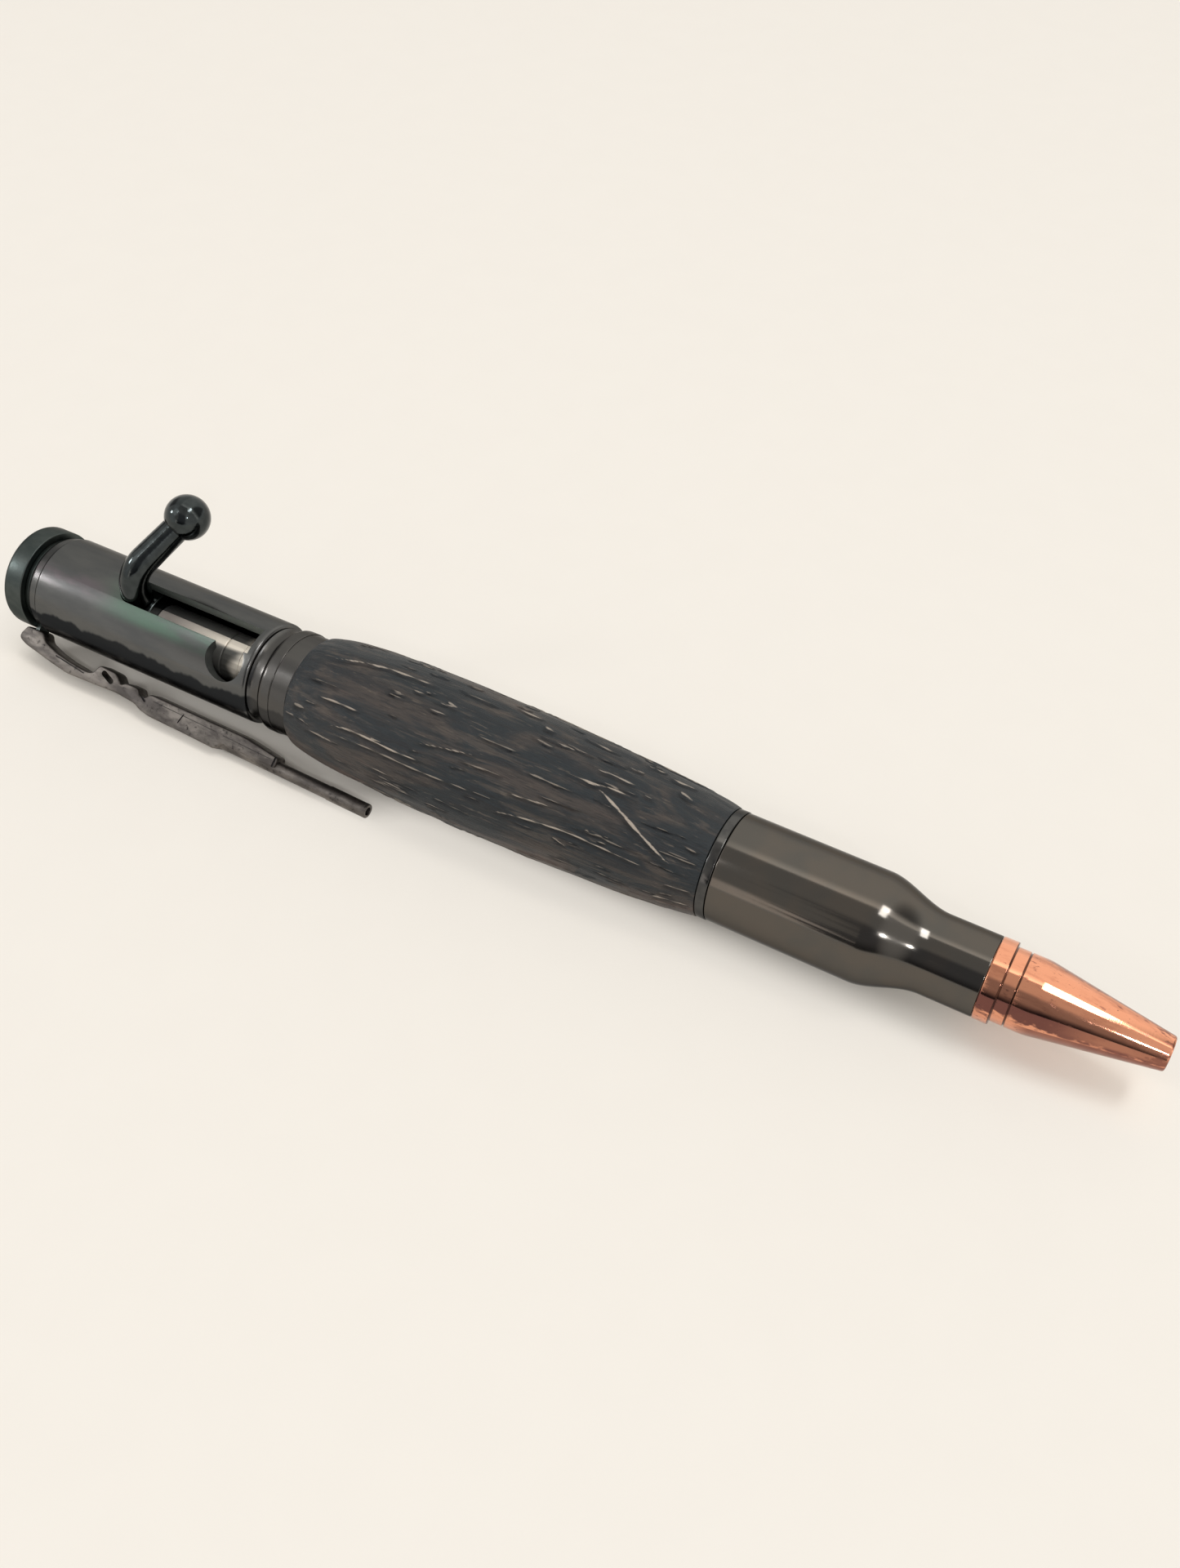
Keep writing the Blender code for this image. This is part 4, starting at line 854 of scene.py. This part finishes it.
# Clip ring: a thin dark ring clamped between cap and housing, with a lug that the clip is fixed to.
# The lug is welded on where the clip stands, low on the viewer's side.
clip_roll = 131.1
band_front, band_rear, band_bore, band_radius = -137.96, -138.52, 4.75, 5.50
band_outline = rounded([
    (band_front, band_bore, 0.0), (band_front, band_radius, 0.06), (band_rear, band_radius, 0.06),
    (band_rear, band_bore, 0.0),
])
ring = turned("clip_band", band_outline)
lug_size = Vector((0.56, 1.8, 1.75)) * mm
lug_middle = (point - 138.24 * mm, axis_y, axis_z + 6.075 * mm)
bpy.ops.object.select_all(action="DESELECT")
bpy.ops.mesh.primitive_cube_add(size=1.0, location=lug_middle, scale=lug_size)
lug = bpy.context.object
lug.matrix_world = about_axis(clip_roll) @ lug.matrix_world
joined_or_cut(ring, lug, "UNION")
done(ring, dark_satin, "gunmetal", "barrel", "clip_ring")

# Clip: cast in the shape of a rifle, antique pewter coloured, with dark left in its cuts and its high
# places rubbed pale. Its butt sits on the ring's lug and its muzzle springs against the barrel.
pewter, sheen = finish("worn_pewter", Metallic=1.0)
cast = sheen.cloud(1500.0, 5.0, 0.65)
wear = sheen.cloud((250.0, 600.0, 600.0), 4.0, 0.6)
tone = wear.clamp(0.36, 0.66).colours((0.082, 0.074, 0.070), (0.200, 0.182, 0.166))
tone = cast.clamp(0.56, 0.72).colours(tone, (0.035, 0.032, 0.032))
feed(pewter, Base_Color=tone, Roughness=0.38 + cast * 0.22)
feed(pewter, Normal=(cast * 0.6 + wear * 0.4).raised(0.30, 0.00014))
recess, sheen = finish("dark_recess", Metallic=0.6)
cast = sheen.cloud(2500.0, 3.0)
feed(recess, Base_Color=cast.clamp(0.3, 0.7).colours((0.018, 0.017, 0.018), (0.05, 0.045, 0.045)))
feed(recess, Roughness=0.5 + cast * 0.2, Normal=cast.raised(0.2, 0.00008))

clip_rear, clip_length = -140.40, 52.8
clip_foot, clip_height, clip_half = 6.42, 4.56, 1.05


def on_clip(along, up):
    """Station and height above the pen's axis, in mm, of a point of the clip given in shares."""
    return clip_rear + along * clip_length, clip_foot + up * clip_height


lower_edge = [
    (0.013, 0.00), (0.0625, 0.00), (0.072, 0.20), (0.112, 0.35), (0.146, 0.425), (0.210, 0.50),
    (0.229, 0.45), (0.240, 0.19), (0.290, 0.22), (0.311, 0.46), (0.322, 0.345), (0.358, 0.345),
    (0.366, 0.51), (0.384, 0.51), (0.394, 0.357), (0.665, 0.386), (0.746, 0.51), (0.759, 0.533),
]
upper_edge = [
    (0.759, 0.81), (0.686, 0.80), (0.610, 0.805), (0.600, 0.99), (0.500, 0.943), (0.409, 0.921),
    (0.380, 0.857), (0.362, 0.760), (0.303, 0.700), (0.256, 0.724), (0.159, 0.763), (0.105, 0.667),
    (0.023, 0.491), (0.002, 0.39), (0.000, 0.259), (0.008, 0.105),
]


def blank(name, outline, low, high):
    """A flat plate: an outline in mm of (station, height), between two depths along Y."""
    plate = traced(name, outline + outline[:1], low)
    bpy.ops.mesh.remove_doubles(threshold=0.0005 * mm)
    bpy.ops.mesh.select_all(action="SELECT")
    bpy.ops.mesh.edge_face_add()
    pulled((0.0, high - low, 0.0))
    welded()
    return plate


clip_outline = rounded([(*on_clip(*share), 0.45) for share in lower_edge + upper_edge], 4)
clip = blank("rifle_clip", clip_outline, -clip_half, clip_half)
clip.data.materials.append(pewter)
broken_edges(clip, 0.20, 60)


def capsule(start, end, radius, steps=10):
    """Outline in mm of a round-ended slot between two points."""
    lean = math.atan2(end[1] - start[1], end[0] - start[0])
    points = []
    for centre, first in ((end, lean - math.pi / 2), (start, lean + math.pi / 2)):
        for k in range(steps + 1):
            angle = first + math.pi * k / steps
            points.append((centre[0] + radius * math.cos(angle), centre[1] + radius * math.sin(angle)))
    return points


guard_hole = blank("guard_hole", capsule(on_clip(0.259, 0.35), on_clip(0.283, 0.47), 0.36), -2.0, 2.0)
joined_or_cut(clip, guard_hole, "DIFFERENCE")


def score(start, end, width, depth, face):
    """A straight cut in one face of the clip, between two points given in shares."""
    a, b = Vector(on_clip(*start)), Vector(on_clip(*end))
    ahead = (b - a).normalized() * width / 2
    aside = Vector((-ahead.y, ahead.x))
    corners = (a - ahead - aside, b + ahead - aside, b + ahead + aside, a - ahead + aside)
    low, high = sorted((face * (clip_half - depth), face * (clip_half + 0.5)))
    tool = blank("score", [tuple(corner) for corner in corners], low, high)
    tool.data.materials.append(recess)
    return tool


for face in (1, -1):
    for start, end, width, depth in (
        ((0.496, 0.50), (0.489, 0.74), 0.16, 0.12),
        ((0.754, 0.54), (0.752, 0.78), 0.24, 0.16),
        ((0.118, 0.44), (0.205, 0.565), 0.16, 0.12),
        ((0.372, 0.48), (0.386, 0.58), 0.30, 0.20),
        ((0.410, 0.50), (0.592, 0.555), 0.07, 0.05),
        ((0.612, 0.575), (0.742, 0.62), 0.07, 0.05),
    ):
        joined_or_cut(clip, score(start, end, width, depth, face), "DIFFERENCE")

root, muzzle = Vector(on_clip(0.606, 0.758)), Vector(on_clip(1.0, 0.856))
gun_length = (muzzle - root).length
gun_radius, muzzle_radius, bore_radius = 0.80, 0.86, 0.50
muzzle_rear, bore_floor = gun_length - 5.4, gun_length - 1.5
gun_outline = rounded([
    (0.0, 0.0, 0.0), (0.0, gun_radius, 0.0), (muzzle_rear, gun_radius, 0.0),
    (muzzle_rear, muzzle_radius, 0.04), (gun_length, muzzle_radius, 0.12), (gun_length, bore_radius, 0.05),
    (bore_floor, bore_radius, 0.0), (bore_floor, 0.0, 0.0),
])
gun = turned("rifle_barrel", gun_outline, 48)
gun.data.materials.append(pewter)
gun_rise = math.atan2(muzzle.y - root.y, muzzle.x - root.x)
to_root = Matrix.Translation((point + root.x * mm, axis_y, axis_z + root.y * mm))
settled(gun, to_root @ Matrix.Rotation(-gun_rise, 4, "Y") @ to_origin)
joined_or_cut(clip, gun, "UNION")
settled(clip, about_axis(clip_roll))
done(clip, pewter, "pewter", "clip", "pocket_clip")

# Refill: a steel tip with its ball, fitted in a brass socket at the front of a drawn tube. The tip is
# turned to a cone, and its end is closed in over the ball. It shows when the bolt is forward.
steel, sheen = finish("tip_steel", Metallic=1.0)
lines = sheen.cloud((9000.0, 80.0, 80.0), 2.0)
tone = lines.clamp(0.3, 0.7).colours((0.66, 0.66, 0.65), (0.52, 0.52, 0.52))
feed(steel, Base_Color=tone, Roughness=0.18 + lines * 0.12, Normal=lines.raised(0.1, 0.00004))
tip_radius, tail_radius, channel_radius, tail_rear, shaft_rear = 1.17, 0.90, 0.50, -27.70, -24.04
cone_rear, face_radius, ink_feed = -15.20, 0.56, 0.25
ball_centre, ball_radius, seat_radius, seat_lip = -13.0, 0.40, 0.42, 0.18
tip_outline = [
    (tail_rear, channel_radius), (tail_rear, tail_radius), (shaft_rear, tail_radius), (shaft_rear, 1.12),
    (-23.99, tip_radius), (-15.25, tip_radius), (cone_rear, 1.15), (ball_centre + seat_lip, face_radius),
]
lip_angle = math.acos(seat_lip / seat_radius)
seat_sweep = math.pi - math.asin(ink_feed / seat_radius) - lip_angle
for k in range(17):
    angle = lip_angle + seat_sweep * k / 16
    tip_outline.append((ball_centre + seat_radius * math.cos(angle), seat_radius * math.sin(angle)))
tip = turned("tip_cone", tip_outline + [(cone_rear, ink_feed), (cone_rear, channel_radius)], 64)
done(tip, steel, "steel", "refill", "writing_tip")
ball_outline = []
for k in range(25):
    angle = math.pi * k / 24
    ball_outline.append((ball_radius * math.cos(angle) + ball_centre, ball_radius * math.sin(angle)))
ball_outline[-1] = (ball_centre - ball_radius, 0.0)
ball = turned("tip_ball", ball_outline, 48, closed=False)
done(ball, steel, "steel", "ball", "writing_ball")

# Return spring: steel wire wound in eleven curls, held between the nose's seat and the refill's shoulder.
spring_curls, spring_radius, wire_radius = 11, 1.78, 0.175
spring_low, spring_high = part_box("return_spring")
bpy.ops.object.select_all(action="DESELECT")
bpy.ops.mesh.primitive_circle_add(
    vertices=12, radius=wire_radius * mm, location=(0.0, 0.0, spring_radius * mm),
    rotation=(90 * degree, 0.0, 0.0),
)
spring = bpy.context.object
spring.name = spring.data.name = "wound_spring"
bpy.ops.object.transform_apply()
winding = spring.modifiers.new("winding", "SCREW")
winding.axis = "X"
winding.iterations = spring_curls
winding.screw_offset = (spring_high.x - spring_low.x - 2 * wire_radius * mm) / spring_curls
winding.steps = winding.render_steps = 20
apply_all(spring)
bpy.ops.object.mode_set(mode="EDIT")
bpy.ops.mesh.select_all(action="SELECT")
bpy.ops.mesh.fill_holes(sides=12)
welded()
settled(spring, Matrix.Translation((spring_low.x + wire_radius * mm, axis_y, axis_z)))
done(spring, steel, "steel", "barrel", "return_spring")
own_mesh(spring)

# Inside pieces that keep their solids: the brass lining tube and bush, and the refill's drawn tube, its
# crown, its socket and the ink. Each gets a finish of its own kind.
wet, sheen = finish("ink_paste", Metallic=0.0)
swirl = sheen.cloud(1500.0, 3.0)
feed(wet, Base_Color=swirl.colours((0.006, 0.006, 0.012), (0.014, 0.014, 0.024)), Roughness=0.2 + swirl * 0.2)
inside_finishes = {
    "brass_tube": brass, "thread_bush": brass, "refill_tube": bright, "refill_crown": bright,
    "refill_nose": brass, "ink_column": wet,
}
for node, material in inside_finishes.items():
    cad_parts[node].data.materials.clear()
    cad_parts[node].data.materials.append(material)
